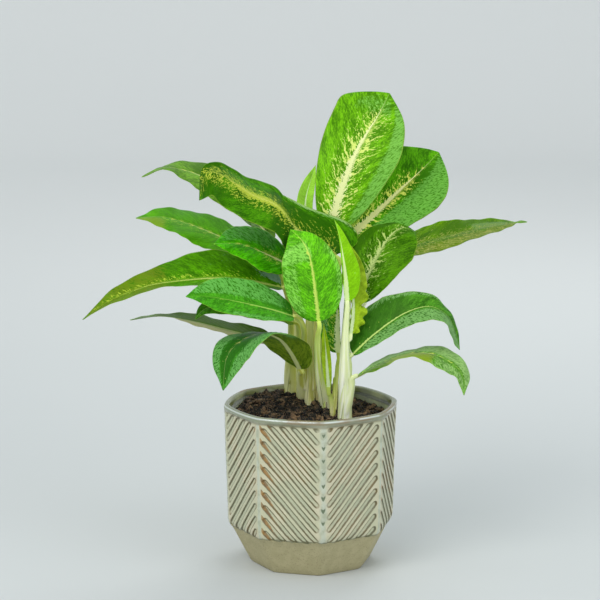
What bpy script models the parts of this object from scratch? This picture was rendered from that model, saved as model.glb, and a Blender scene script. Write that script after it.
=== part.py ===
"""Potted chinese evergreen: an eight-sided stoneware pot, its soil, and the leafy shoots that stand in it.

Run with: blender --background --python part.py
All values below are in millimetres and are scaled to metres where meshes are made.
The pot stands on its base at z = 0. The front of the plant looks along -Y, +X is to the right.
"""
import math

import bpy
import bmesh
from mathutils import Matrix, Vector, noise

MM = 0.001
TOUCH_GAP = 0.3

# Driving dimensions of the pot
POT_SIDES = 8
POT_TURN = math.radians(8.0)
POT_HEIGHT = 130.0
BASE_RADIUS = 48.6
SHOULDER_RADIUS = 67.8
RIM_RADIUS = 70.4
SHOULDER_HEIGHT = 36.0
BAND_TOP = 28.5
BAND_TOP_RADIUS = 63.6
WALL = 4.9
LIP_DEPTH = 5.0
LIP_STEP = 1.0
FLOOR_THICKNESS = 8.0

# Herringbone relief: slanting channels sunk into each side, mirrored from side to side
CHANNEL_WIDTH = 3.45
CHANNEL_PERIOD = 10.2
CHANNEL_SLOPE = 1.085
CHANNEL_DEPTH = 0.9
CHANNEL_PHASE = 1.1
RELIEF_BOTTOM = 30.0
RELIEF_TOP = 123.0
RIDGE_MARGIN = 3.2

# Cross-sections of the pot: an octagon with slightly rounded corners, rounder at the lip
CORNER_CUT = 0.99
LIP_ROUNDNESS = 0.55
SECTION_SHARES = (0.0, 0.055, 0.25, 0.5, 0.75, 0.945)

# Soil
SOIL_SHARES = (0.0, 0.25, 0.5, 0.75)
SOIL_RINGS = (0.18, 0.4, 0.62, 0.82, 1.0)
SOIL_LEVEL = 120.0
SOIL_TILT = 0.03
MOUND_PLACE = (-14.0, 26.0)
MOUND_HEIGHT = 8.0
MOUND_SPREAD = 22.0
SOIL_LUMPS = 1.3
ROOT_DEPTH = 26.0

# Blades
BLADE_THICKNESS = 0.9
BLADE_ROWS = 12
BLADE_COLUMNS = (-1.0, -0.55, 0.0, 0.55, 1.0)
BASE_FULLNESS = 2.3
BASE_HALF_WIDTH = 1.2
WAVES = 2.5
LOBE_SHARE = 0.3
PETIOLE_SIDES = 8
STALK_RADIUS = 3.0
STALK_TIP_RADIUS = 1.6
STALK_POINTS = 8
TRUNK_POINTS = 5

# Each shoot: place of its cane in the soil, the cane's radius, and the middle line and radii of its trunk
SHOOTS = {
    "shoot_back": dict(foot=(-16, 30), radius=5.4, trunk=[(-16, 29, 145), (-16, 28, 172)], narrowing=0.8),
    "shoot_left": dict(foot=(-7, 20), radius=4.0, trunk=[(-8, 16, 145), (-9, 13, 170)], narrowing=0.8),
    "shoot_middle": dict(foot=(-1, 12), radius=4.0, trunk=[(-1, 12, 145), (-2, 12, 172)], narrowing=0.8),
    "shoot_tall": dict(foot=(6, 23), radius=4.0, trunk=[(6, 23, 145), (6, 22, 175)], narrowing=0.8),
    "shoot_front": dict(foot=(12, 5), radius=3.6, trunk=[(11, 4, 145), (9, 1, 170)], narrowing=0.75),
    "shoot_small": dict(foot=(18, -8), radius=1.9, trunk=[(19, -5, 135), (19, -1, 150)], narrowing=0.8),
    "shoot_right": dict(foot=(27, -16), radius=6.0, trunk=[(27, -16, 135), (27, -16, 155)], narrowing=0.75),
}

# Each leaf: midrib points from base to tip, where its upper face looks at shares of its length,
# half widths to either side, where along it is widest, how blunt its tip is, fold (V where above 0),
# cup (margins bent down) and the height of the margin's waves. Optional: how full its base is, how far
# lobes sweep back beside the stalk, and how steadily its width keeps one direction along a bent midrib.
# The stalk runs from the shoot up to the blade's base through the points given.
LEAVES = {
    "leaf_crown_tall": dict(
        shoot="shoot_tall", stalk=[(6, 25, 200), (12, 29, 236)],
        rib=[(15, 31, 262), (20, 32, 281), (28, 36, 305), (36, 42, 324), (45, 49, 339), (54, 57, 352),
             (64, 71, 369)],
        face=[(0, (0.1, -0.9, 0.3)), (1, (0.0, -0.6, 0.8))],
        halves=(36, 34), widest=(0.8, 0.56), blunt=(1.65, 1.2), base=(1.0, 1.4),
        fold=0.1, cup=0.1, wave=0.8),
    "leaf_crown_right": dict(
        shoot="shoot_right", stalk=[(27, -8, 160), (28, 4, 186), (30, 22, 217), (31, 35, 244)],
        rib=[(31, 38, 256), (40, 42, 264), (51, 48, 273), (67, 57, 287), (92, 71, 308), (105, 79, 320)],
        face=[(0, (0.0, -0.85, 0.5)), (1, (0.1, -0.6, 0.8))],
        halves=(37, 33), widest=(0.55, 0.64), blunt=(2.1, 1.35), base=(2.3, 1.3),
        fold=0.1, cup=0.1, wave=0.8),
    "leaf_young_back": dict(
        shoot="shoot_middle", stalk=[(-1, 18, 205), (-3, 36, 240)],
        rib=[(-3, 44, 256), (-4, 47, 285), (4, 51, 313)],
        face=[(0, (-0.2, -0.95, 0.2))],
        halves=(6, 6), widest=0.5, blunt=1.2, fold=0.4, cup=0.0, wave=0.0),
    "leaf_crown_left": dict(
        shoot="shoot_front", stalk=[(10, 7, 172), (12, 12, 195), (20, 11, 226)],
        rib=[(19, 6, 246), (9, 3, 256), (-1, -1, 262), (-12, -3, 270), (-26, -7, 288), (-47, -16, 299),
             (-69, -28, 315), (-81, -35, 316), (-86, -39, 297)],
        face=[(0, (0.1, -1.0, 0.1)), (0.35, (0.0, -0.5, 0.85)), (0.7, (-0.1, -0.6, 0.8)),
              (1, (-0.4, -0.6, 0.6))],
        halves=(27, 31), widest=(0.55, 0.32), blunt=(1.9, 1.0), base=(1.7, 3.2),
        fold=-0.2, cup=0.0, wave=0.8, lobe=(0.2, 1.4), steady=0.7),
    "leaf_far_left": dict(
        shoot="shoot_back", stalk=[(-14, 33, 200), (-20, 38, 238)],
        rib=[(-30, 38, 254), (-44, 40, 269), (-57, 41, 284), (-71, 44, 295), (-89, 46, 305),
             (-105, 47, 310), (-118, 46, 311), (-136, 44, 304)],
        face=[(0, (0.0, -0.2, 1.0)), (0.6, (0.0, -0.4, 0.9)), (0.75, (0.0, -0.25, 0.95)),
              (0.86, (0.0, 0.12, 0.99)), (1, (0.0, -0.35, 0.94))],
        halves=(20, 22), widest=0.5, blunt=1.0, base=(1.1, 2.3), fold=0.12, cup=0.1, wave=1.0),
    "leaf_left_upper": dict(
        shoot="shoot_back", stalk=[(-16, 30, 200), (-30, 26, 236)],
        rib=[(-48, 27, 246), (-73, 37, 257), (-97, 42, 266), (-121, 43, 272), (-141, 43, 271)],
        face=[(0, (0.0, -0.28, 0.96))],
        halves=(26, 24), widest=0.45, blunt=1.3, fold=0.12, cup=0.1, wave=1.0),
    "leaf_left_dark": dict(
        shoot="shoot_left", stalk=[(-9, 14, 195), (-11, 11, 222)],
        rib=[(-17, 5, 239), (-39, -2, 251), (-56, -7, 258), (-76, -12, 259)],
        face=[(0, (0.0, -0.6, 0.8)), (1, (0.0, -0.5, 0.85))],
        halves=(20, 24), widest=0.45, blunt=1.3, fold=0.12, cup=0.1, wave=0.8),
    "leaf_left_long": dict(
        shoot="shoot_left", stalk=[(-9, 8, 190), (-14, 4, 208)],
        rib=[(-23, 0, 222), (-52, -8, 229), (-79, -16, 232), (-117, -26, 230), (-135, -31, 226),
             (-156, -36, 218), (-177, -41, 204)],
        face=[(0, (0.0, -0.4, 0.9)), (1, (-0.2, -0.4, 0.9))],
        halves=(17, 27), widest=(0.45, 0.3), blunt=(1.2, 0.62), fold=0.35, cup=0.0, wave=1.0),
    "leaf_left_silver": dict(
        shoot="shoot_left", stalk=[(-5, -1, 178), (-6, -13, 194)],
        rib=[(-14, -20, 203), (-32, -33, 211), (-58, -48, 220), (-80, -55, 225), (-96, -60, 226)],
        face=[(0, (-0.1, -0.67, 0.74))],
        halves=(18, 20), widest=(0.52, 0.45), blunt=1.4, base=(1.5, 2.6), fold=0.25, cup=0.0, wave=0.8),
    "leaf_left_under": dict(
        shoot="shoot_left", stalk=[(-9, 9, 178)],
        rib=[(-14, 2, 194), (-24, -3, 201), (-39, -8, 206), (-67, -14, 210), (-83, -18, 208),
             (-91, -20, 200)],
        face=[(0, (0.0, -0.4, 0.9))],
        halves=(14, 16), widest=0.45, blunt=1.3, fold=0.12, cup=0.1, wave=0.6, lobe=(0.0, 1.2)),
    "leaf_left_low": dict(
        shoot="shoot_back", stalk=[(-18, 24, 170)],
        rib=[(-25, 15, 174), (-49, 13, 181), (-72, 13, 187), (-96, 14, 193), (-120, 17, 196),
             (-145, 20, 192)],
        face=[(0, (0.0, 0.5, 0.85)), (0.5, (0.0, 0.42, 0.9)), (1, (0.0, 0.2, 1.0))],
        halves=(20, 22), widest=0.4, blunt=1.2, fold=0.12, cup=0.05, wave=1.0),
    "leaf_front_drooping": dict(
        shoot="shoot_left", stalk=[(-8, 8, 150)],
        rib=[(-9, -5, 158), (-16, -14, 173), (-25, -24, 186), (-38, -34, 192), (-54, -44, 188),
             (-65, -50, 176), (-68, -55, 151)],
        face=[(0, (0.4, 0.5, 0.7)), (0.5, (0.0, 0.2, 1.0)), (0.72, (-0.5, -0.5, 0.6)),
              (1, (-0.6, -0.75, 0.2))],
        halves=(25, 23), widest=0.45, blunt=(1.6, 1.25), fold=0.1, cup=0.1, wave=0.8),
    "leaf_front_oval": dict(
        shoot="shoot_front", stalk=[(6, -5, 158), (5, -16, 182)],
        rib=[(6, -26, 200), (4, -28, 217), (0, -30, 247), (-6, -26, 262), (-16, -16, 271)],
        face=[(0, (0.05, -0.95, 0.2)), (1, (0.0, -0.8, 0.6))],
        halves=(23, 21.5), widest=(0.5, 0.42), blunt=(1.5, 1.05), fold=0.08, cup=0.12, wave=0.5),
    "leaf_young_folded": dict(
        shoot="shoot_right", stalk=[(27, -21, 185)],
        rib=[(28, -25, 216), (27, -25, 233), (25, -24, 250), (22, -20, 267), (18, -15, 279)],
        face=[(0, (0.1, -1.0, 0.0))],
        halves=(1.5, 10.6), widest=0.38, blunt=0.64, fold=0.3, cup=0.0, wave=0.3),
    "leaf_young_frill": dict(
        shoot="shoot_right", stalk=[(28, -19, 180)],
        rib=[(31, -20, 189), (33, -19, 203), (33, -18, 220), (31, -17, 240), (28, -15, 262)],
        face=[(0, (0.1, -1.0, 0.1))],
        halves=(1.5, 11), widest=0.55, blunt=1.15, base=4.0, fold=0.1, cup=0.0, wave=1.5),
    "leaf_right_dark": dict(
        shoot="shoot_right", stalk=[(28, -9, 160), (30, 0, 184)],
        rib=[(38, -3, 211), (44, 0, 230), (52, 7, 246), (62, 15, 260), (73, 23, 266), (84, 30, 262)],
        face=[(0, (0.0, -0.85, 0.5)), (1, (0.1, -0.2, 0.95))],
        halves=(21, 27), widest=(0.4, 0.55), blunt=(1.3, 1.7), base=(2.3, 0.95),
        fold=0.12, cup=0.1, wave=0.8),
    "leaf_right_long": dict(
        shoot="shoot_right", stalk=[(28, -8, 160), (32, 6, 186), (48, 30, 217)],
        rib=[(65, 41, 245), (81, 45, 249), (108, 47, 256), (132, 45, 262), (152, 38, 267), (173, 29, 270)],
        face=[(0, (0.0, 0.7, 0.7)), (0.6, (0.0, 0.55, 0.85)), (0.85, (0.0, 0.35, 0.95)),
              (0.93, (0.0, 0.1, 1.0)), (1, (0.0, -0.1, 1.0))],
        halves=(24, 20), widest=0.35, blunt=(1.8, 1.4), fold=0.12, cup=0.05, wave=1.0),
    "leaf_right_arching": dict(
        shoot="shoot_right", stalk=[(30, -17, 160)],
        rib=[(33, -17, 172), (49, -20, 188), (72, -22, 205), (92, -22, 211), (106, -20, 204),
             (113, -18, 191), (117, -16, 175)],
        face=[(0, (-0.2, -0.65, 0.75)), (0.45, (-0.1, -0.65, 0.75)), (0.7, (0.3, -0.35, 0.9)),
              (1, (0.8, -0.5, 0.3))],
        halves=(22, 19), widest=(0.36, 0.64), blunt=(0.5, 1.5), base=(2.3, 0.8),
        fold=0.15, cup=0.0, wave=1.0),
    "leaf_right_low": dict(
        shoot="shoot_right", stalk=[(32, -20, 146)],
        rib=[(37, -22, 156), (55, -24, 166), (74, -27, 174), (94, -30, 175), (110, -34, 168),
             (118, -37, 159), (119, -41, 144)],
        face=[(0, (-0.1, 0.0, 1.0)), (0.45, (-0.05, 0.02, 1.0)), (0.62, (0.1, -0.15, 0.95)),
              (0.8, (0.5, -0.5, 0.7)), (1, (0.85, -0.4, 0.3))],
        halves=(19, 19), widest=0.5, blunt=1.3, base=3.5, fold=0.1, cup=0.1, wave=1.0),
    "leaf_inner_dark": dict(
        shoot="shoot_small", stalk=[(21, 1, 156)],
        rib=[(22, 1, 169), (21, 3, 192), (21, 7, 223)],
        face=[(0, (-0.1, -0.95, 0.2))],
        halves=(14, 1.5), widest=0.5, blunt=1.3, fold=0.1, cup=0.1, wave=0.4),
    "leaf_sheath": dict(
        shoot="shoot_small", stalk=[(16, -7, 134)],
        rib=[(14, -8, 143), (13, -8, 157), (12, -8, 171), (11, -7, 182), (10, -6, 195)],
        face=[(0, (0.0, -1.0, 0.0))],
        halves=(3, 3), widest=0.4, blunt=1.2, base=1.4, fold=0.3, cup=0.0, wave=0.0),
}


def clear_scene():
    for old in list(bpy.data.objects):
        bpy.data.objects.remove(old, do_unlink=True)
    for group in list(bpy.data.collections):
        bpy.data.collections.remove(group)


def collection(name):
    group = bpy.data.collections.new(name)
    bpy.context.scene.collection.children.link(group)
    return group


def material(name, colour, roughness, metallic=0.0):
    made = bpy.data.materials.new(name)
    made.use_nodes = True
    shader = made.node_tree.nodes["Principled BSDF"]
    shader.inputs["Base Color"].default_value = (*colour, 1.0)
    shader.inputs["Roughness"].default_value = roughness
    shader.inputs["Metallic"].default_value = metallic
    made.diffuse_color = (*colour, 1.0)
    return made


def mesh_object(name, points, faces, group, finish=None):
    mesh = bpy.data.meshes.new(name)
    mesh.from_pydata([tuple(Vector(p) * MM) for p in points], [], faces)
    mesh.update()
    made = bpy.data.objects.new(name, mesh)
    group.objects.link(made)
    if finish:
        mesh.materials.append(finish)
    return made


def mark_cutter(cutter):
    cutter.hide_render = True
    cutter.display_type = "WIRE"


def bake_modifiers(target):
    """Replaces an object's mesh by its evaluated mesh and drops its modifiers."""
    bpy.context.view_layer.update()
    graph = bpy.context.evaluated_depsgraph_get()
    baked = bpy.data.meshes.new_from_object(target.evaluated_get(graph))
    old = target.data
    target.modifiers.clear()
    target.data = baked
    bpy.data.meshes.remove(old)


def section_radius(circumradius, share, roundness):
    """Distance from the axis at a share of one side: an octagon with rounded corners, eased to a circle."""
    angle = (share - 0.5) * math.tau / POT_SIDES
    corner = circumradius * CORNER_CUT
    flat = min(circumradius * math.cos(math.pi / POT_SIDES) / math.cos(angle), corner)
    return flat + roundness * (corner - flat)


def section(circumradius, z, roundness=0.0, shares=None):
    """One ring of points of the pot at a height."""
    ring = []
    for side in range(POT_SIDES):
        for share in shares or SECTION_SHARES:
            angle = POT_TURN + (side + share) * math.tau / POT_SIDES
            radius = section_radius(circumradius, share, roundness)
            ring.append((radius * math.cos(angle), radius * math.sin(angle), z))
    return ring


def lofted(name, rings, group, finish=None):
    """A closed solid through rings of equal count, from an axis point through the rings to an axis point."""
    first, *middle, last = rings
    around = len(middle[0])
    points = [first] + [p for ring in middle for p in ring] + [last]
    faces = [[0, 1 + (i + 1) % around, 1 + i] for i in range(around)]
    for level in range(len(middle) - 1):
        a = 1 + level * around
        b = a + around
        for i in range(around):
            j = (i + 1) % around
            faces.append([a + i, a + j, b + j, b + i])
    a = 1 + (len(middle) - 1) * around
    faces += [[a + i, a + (i + 1) % around, len(points) - 1] for i in range(around)]
    made = mesh_object(name, points, faces, group, finish)
    shape = bmesh.new()
    shape.from_mesh(made.data)
    bmesh.ops.recalc_face_normals(shape, faces=shape.faces)
    bmesh.ops.dissolve_limit(shape, angle_limit=math.radians(0.5), verts=shape.verts, edges=shape.edges)
    shape.to_mesh(made.data)
    shape.free()
    return made


def inner_profile(inset):
    """The pot's inner wall from under the lip down to its floor, moved in by an inset."""
    return [
        (RIM_RADIUS - WALL - LIP_STEP - inset, POT_HEIGHT - LIP_DEPTH),
        (SHOULDER_RADIUS - WALL - LIP_STEP - inset, SHOULDER_HEIGHT + 4.0),
        (BAND_TOP_RADIUS - WALL - inset, BAND_TOP),
        (BASE_RADIUS - WALL + 1.0 - inset, FLOOR_THICKNESS + inset),
    ]


def clip_polygon(polygon, axis, limit, keep_below):
    """Clips a 2D polygon by the line axis . p = limit and keeps one side."""
    kept = []
    for i, here in enumerate(polygon):
        ahead = polygon[(i + 1) % len(polygon)]
        a = axis[0] * here[0] + axis[1] * here[1] - limit
        b = axis[0] * ahead[0] + axis[1] * ahead[1] - limit
        if not keep_below:
            a, b = -a, -b
        if a <= 0.0:
            kept.append(here)
        if a * b < 0.0:
            share = a / (a - b)
            kept.append((here[0] + share * (ahead[0] - here[0]), here[1] + share * (ahead[1] - here[1])))
    return kept


def facet_frame(side):
    """Outward, sideways and upward directions of one side of the pot, and a point on it."""
    lean = math.atan2(RIM_RADIUS - SHOULDER_RADIUS, POT_HEIGHT - SHOULDER_HEIGHT)
    middle = POT_TURN + (side + 0.5) * math.tau / POT_SIDES
    flat = Vector((math.cos(middle), math.sin(middle), 0.0))
    across = Vector((-math.sin(middle), math.cos(middle), 0.0))
    up = Vector((0.0, 0.0, 1.0)) * math.cos(lean) + flat * math.sin(lean)
    out = across.cross(up)
    apothem = SHOULDER_RADIUS * math.cos(math.pi / POT_SIDES)
    return out, across, up, flat * apothem + Vector((0.0, 0.0, SHOULDER_HEIGHT))


def channel_polygons(side):
    """Outlines of one side's channels in (across, height above the shoulder) coordinates."""
    edge = SHOULDER_RADIUS * math.sin(math.pi / POT_SIDES)
    spread = (RIM_RADIUS - SHOULDER_RADIUS) / (POT_HEIGHT - SHOULDER_HEIGHT) * math.sin(math.pi / POT_SIDES)
    low = RELIEF_BOTTOM - SHOULDER_HEIGHT
    high = RELIEF_TOP - SHOULDER_HEIGHT
    valley_on_left = side % 2 == 0
    slope = CHANNEL_SLOPE if valley_on_left else -CHANNEL_SLOPE
    valley = -edge if valley_on_left else edge
    half_tall = 0.5 * CHANNEL_WIDTH * math.hypot(1.0, CHANNEL_SLOPE)
    reach = 2.0 * edge + 10.0
    spare = math.ceil(2.0 * edge * CHANNEL_SLOPE / CHANNEL_PERIOD) + 1
    first = math.floor(low / CHANNEL_PERIOD) - spare
    last = math.ceil(high / CHANNEL_PERIOD) + spare
    outlines = []
    for step in range(first, last):
        start = CHANNEL_PHASE + step * CHANNEL_PERIOD
        stripe = [
            (-reach, start + slope * (-reach - valley) - half_tall),
            (reach, start + slope * (reach - valley) - half_tall),
            (reach, start + slope * (reach - valley) + half_tall),
            (-reach, start + slope * (-reach - valley) + half_tall),
        ]
        for axis, limit, below in (
            ((0.0, 1.0), low, False),
            ((0.0, 1.0), high, True),
            ((1.0, -spread), edge - RIDGE_MARGIN, True),
            ((-1.0, -spread), edge - RIDGE_MARGIN, True),
        ):
            stripe = clip_polygon(stripe, axis, limit, below)
            if len(stripe) < 3:
                break
        if len(stripe) < 3:
            continue
        area = 0.5 * abs(sum(p[0] * q[1] - q[0] * p[1] for p, q in zip(stripe, stripe[1:] + stripe[:1])))
        if area > CHANNEL_WIDTH * CHANNEL_WIDTH:
            outlines.append(stripe)
    return outlines


def make_channel_cutter(group):
    points = []
    faces = []
    for side in range(POT_SIDES):
        out, across, up, origin = facet_frame(side)
        for outline in channel_polygons(side):
            count = len(outline)
            base = len(points)
            for depth in (-CHANNEL_DEPTH, 3.0):
                points += [origin + across * s + up * v + out * depth for s, v in outline]
            faces.append([base + i for i in reversed(range(count))])
            faces.append([base + count + i for i in range(count)])
            for i in range(count):
                j = (i + 1) % count
                faces.append([base + i, base + j, base + count + j, base + count + i])
    cutter = mesh_object("channel_cutter", points, faces, group)
    shape = bmesh.new()
    shape.from_mesh(cutter.data)
    bmesh.ops.recalc_face_normals(shape, faces=shape.faces)
    shape.to_mesh(cutter.data)
    shape.free()
    mark_cutter(cutter)
    return cutter


def make_pot(parts, cutters, finish):
    inner = [(radius, z, 0.0) for radius, z in reversed(inner_profile(0.0))]
    lip = [
        (RIM_RADIUS - WALL, POT_HEIGHT - LIP_DEPTH + 0.6, LIP_ROUNDNESS * 0.6),
        (RIM_RADIUS - WALL + 0.1, POT_HEIGHT - 0.9, LIP_ROUNDNESS),
        (RIM_RADIUS - WALL + 1.1, POT_HEIGHT, LIP_ROUNDNESS),
        (RIM_RADIUS - 1.4, POT_HEIGHT, LIP_ROUNDNESS),
        (RIM_RADIUS - 0.3, POT_HEIGHT - 0.8, LIP_ROUNDNESS),
        (RIM_RADIUS, POT_HEIGHT - 2.4, LIP_ROUNDNESS),
        (RIM_RADIUS - 0.1, POT_HEIGHT - 4.0, LIP_ROUNDNESS),
        (RIM_RADIUS - 0.2, RELIEF_TOP + 0.5, 0.0),
    ]
    outer = [
        (SHOULDER_RADIUS, SHOULDER_HEIGHT, 0.0),
        (SHOULDER_RADIUS - 1.2, SHOULDER_HEIGHT - 4.0, 0.0),
        (BAND_TOP_RADIUS, BAND_TOP, 0.0),
        (BASE_RADIUS + 0.9, 1.2, 0.0),
        (BASE_RADIUS, 0.0, 0.0),
    ]
    rings = [(0.0, 0.0, FLOOR_THICKNESS)]
    rings += [section(radius, z, roundness) for radius, z, roundness in inner + lip + outer]
    rings.append((0.0, 0.0, 0.0))
    pot = lofted("pot", rings, parts, finish)
    carve = pot.modifiers.new("Channels", "BOOLEAN")
    carve.operation = "DIFFERENCE"
    carve.solver = "EXACT"
    carve.object = make_channel_cutter(cutters)
    return pot


def soil_height(x, y):
    mound = math.exp(-((x - MOUND_PLACE[0]) ** 2 + (y - MOUND_PLACE[1]) ** 2) / (2.0 * MOUND_SPREAD ** 2))
    lumps = SOIL_LUMPS * noise.noise(Vector((x * 0.11, y * 0.11, 3.7)))
    lumps += 0.5 * SOIL_LUMPS * noise.noise(Vector((x * 0.27, y * 0.27, 9.1)))
    return SOIL_LEVEL + SOIL_TILT * (y - x) + MOUND_HEIGHT * mound + lumps


def make_soil(parts, cutters, finish):
    """A plug that fills the pot, with a lumpy top and a plain blind hole for each shoot."""
    wall = inner_profile(TOUCH_GAP / math.cos(math.pi / POT_SIDES))

    def wall_radius(z):
        for (r_top, z_top), (r_low, z_low) in zip(wall, wall[1:]):
            if z >= z_low:
                return r_low + (r_top - r_low) * (z - z_low) / (z_top - z_low)
        return wall[-1][0]

    rings = [(0.0, 0.0, soil_height(0.0, 0.0))]
    for part in SOIL_RINGS:
        flat = section(wall_radius(SOIL_LEVEL) * part, 0.0, 0.0, SOIL_SHARES)
        rings.append([(x, y, soil_height(x, y)) for x, y, z in flat])
    for radius, z in wall[1:]:
        rings.append(section(radius, z, 0.0, SOIL_SHARES))
    rings.append((0.0, 0.0, wall[-1][1]))
    soil = lofted("soil", rings, parts, finish)
    shape = bmesh.new()
    shape.from_mesh(soil.data)
    bmesh.ops.triangulate(shape, faces=[f for f in shape.faces if f.calc_center_median().z > 0.1])
    shape.to_mesh(soil.data)
    shape.free()
    for name, shoot in SHOOTS.items():
        x, y = shoot["foot"]
        bottom = (x, y, soil_height(x, y) - ROOT_DEPTH - TOUCH_GAP)
        hole = cane_mesh(name + "_hole", bottom, (x, y, 160.0), shoot["radius"] + 1.5 * TOUCH_GAP, cutters)
        mark_cutter(hole)
        cut = soil.modifiers.new(name, "BOOLEAN")
        cut.operation = "DIFFERENCE"
        cut.solver = "EXACT"
        cut.object = hole
    return soil


def cane_mesh(name, low, high, radius, group, finish=None):
    """A straight eight-sided rod between two points on one vertical line."""
    length = high[2] - low[2]
    shape = bmesh.new()
    thick = radius * MM
    bmesh.ops.create_cone(
        shape, cap_ends=True, segments=PETIOLE_SIDES, radius1=thick, radius2=thick, depth=length * MM)
    mesh = bpy.data.meshes.new(name)
    shape.to_mesh(mesh)
    shape.free()
    mesh.transform(Matrix.Translation(Vector((low[0], low[1], low[2] + 0.5 * length)) * MM))
    made = bpy.data.objects.new(name, mesh)
    group.objects.link(made)
    if finish:
        mesh.materials.append(finish)
    return made


def smooth_path(points, count):
    """Evenly spaced points on a smooth curve through a few chosen ones."""
    chosen = [Vector(p) for p in points]
    if len(chosen) == 2:
        dense = [chosen[0].lerp(chosen[1], i / 32) for i in range(33)]
    else:
        ends = [2 * chosen[0] - chosen[1]] + chosen + [2 * chosen[-1] - chosen[-2]]
        dense = []
        for k in range(len(chosen) - 1):
            a, b, c, d = ends[k:k + 4]
            for i in range(16):
                t = i / 16
                dense.append(0.5 * (2 * b + (c - a) * t + (2 * a - 5 * b + 4 * c - d) * t ** 2
                                    + (3 * b - 3 * c + d - a) * t ** 3))
        dense.append(chosen[-1])
    along = [0.0]
    for a, b in zip(dense, dense[1:]):
        along.append(along[-1] + (b - a).length)
    spots = []
    k = 0
    for i in range(count):
        target = along[-1] * i / (count - 1)
        while k < len(dense) - 2 and along[k + 1] < target:
            k += 1
        share = (target - along[k]) / max(along[k + 1] - along[k], 1e-9)
        spots.append(dense[k].lerp(dense[k + 1], min(max(share, 0.0), 1.0)))
    return spots


def tube(name, points, radii, group):
    """A round stalk along points, as a closed mesh with welded caps."""
    curve = bpy.data.curves.new(name, "CURVE")
    curve.dimensions = "3D"
    curve.bevel_depth = MM
    curve.bevel_resolution = 2
    curve.use_fill_caps = True
    line = curve.splines.new("POLY")
    line.points.add(len(points) - 1)
    for spot, place, radius in zip(line.points, points, radii):
        spot.co = (*(Vector(place) * MM), 1.0)
        spot.radius = radius
    made = bpy.data.objects.new(name, curve)
    group.objects.link(made)
    bpy.context.view_layer.update()
    graph = bpy.context.evaluated_depsgraph_get()
    mesh = bpy.data.meshes.new_from_object(made.evaluated_get(graph))
    bpy.data.objects.remove(made, do_unlink=True)
    shape = bmesh.new()
    shape.from_mesh(mesh)
    bmesh.ops.remove_doubles(shape, verts=shape.verts, dist=0.00001)
    bmesh.ops.recalc_face_normals(shape, faces=shape.faces)
    shape.to_mesh(mesh)
    shape.free()
    solid = bpy.data.objects.new(name, mesh)
    group.objects.link(solid)
    return solid


def half_outline(t, widest, blunt, base):
    """Half width of a blade, 0 to 1, at a share t of its length: round base, pointed tip."""
    if t < widest:
        return math.sqrt(max(0.0, 1.0 - (1.0 - t / widest) ** base))
    return math.cos(0.5 * math.pi * ((t - widest) / (1.0 - widest)) ** blunt)


def by_side(value, u):
    """A shape number that may be given once or as a pair for the near and far side."""
    return value[u > 0.0] if isinstance(value, tuple) else value


def facing(stops, t):
    """Where a blade's upper face looks at a share t of its length."""
    for (low, first), (high, second) in zip(stops, stops[1:]):
        if t <= high:
            return Vector(first).normalized().lerp(Vector(second).normalized(), (t - low) / (high - low))
    return Vector(stops[-1][1])


def blade_surface(leaf):
    """Rows of points of a blade's middle surface from its base on, and its tip."""
    dense = 96
    rib = smooth_path(leaf["rib"], dense + 1)
    shape = (leaf["widest"], leaf["blunt"], leaf.get("base", BASE_FULLNESS))
    chord = (rib[-1] - rib[0]).normalized()
    rows = []
    for i in range(BLADE_ROWS):
        even = i / BLADE_ROWS
        t = 0.6 * even + 0.2 * (1.0 - math.cos(math.pi * even))
        k = min(int(t * dense), dense - 1)
        spot = rib[k].lerp(rib[k + 1], t * dense - k)
        forward = (rib[min(k + 6, dense)] - rib[max(k - 5, 0)]).normalized()
        forward = forward.lerp(chord, leaf.get("steady", 0.0)).normalized()
        side = forward.cross(facing(leaf["face"], t)).normalized()
        up = side.cross(forward).normalized()
        row = []
        for u in BLADE_COLUMNS:
            spread = half_outline(t, *(by_side(value, u) for value in shape))
            half = by_side(leaf["halves"], u) * spread + BASE_HALF_WIDTH * (1.0 - t)
            lift = leaf["fold"] * abs(u) * half - leaf["cup"] * u * u * half
            ripple = leaf["wave"] * math.sin(math.tau * (WAVES * t + 0.23 * u))
            lift += u * u * ripple * min(1.0, half / 8.0)
            sweep = by_side(leaf.get("lobe", 0.0), u) * max(0.0, 1.0 - t / LOBE_SHARE)
            back = sweep * abs(u) * max(0.0, half - STALK_TIP_RADIUS - 2.4)
            row.append(spot + side * (u * half) + up * lift - forward * back)
        rows.append(row)
    return rows, rib[-1]


def make_blade(name, leaf, group, finish):
    rows, tip = blade_surface(leaf)
    columns = len(BLADE_COLUMNS)
    points = [p for row in rows for p in row] + [tip]
    faces = []
    for r in range(len(rows) - 1):
        for c in range(columns - 1):
            a = r * columns + c
            b = a + 1
            d = a + columns
            e = d + 1
            if c < columns // 2:
                faces += [[a, b, e], [a, e, d]]
            else:
                faces += [[a, b, d], [b, e, d]]
    last = (len(rows) - 1) * columns
    faces += [[last + c, last + c + 1, len(points) - 1] for c in range(columns - 1)]
    blade = mesh_object(name, points, faces, group, finish)
    thicken = blade.modifiers.new("Thickness", "SOLIDIFY")
    thicken.thickness = BLADE_THICKNESS * MM
    thicken.offset = 0.0
    return blade


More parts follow.
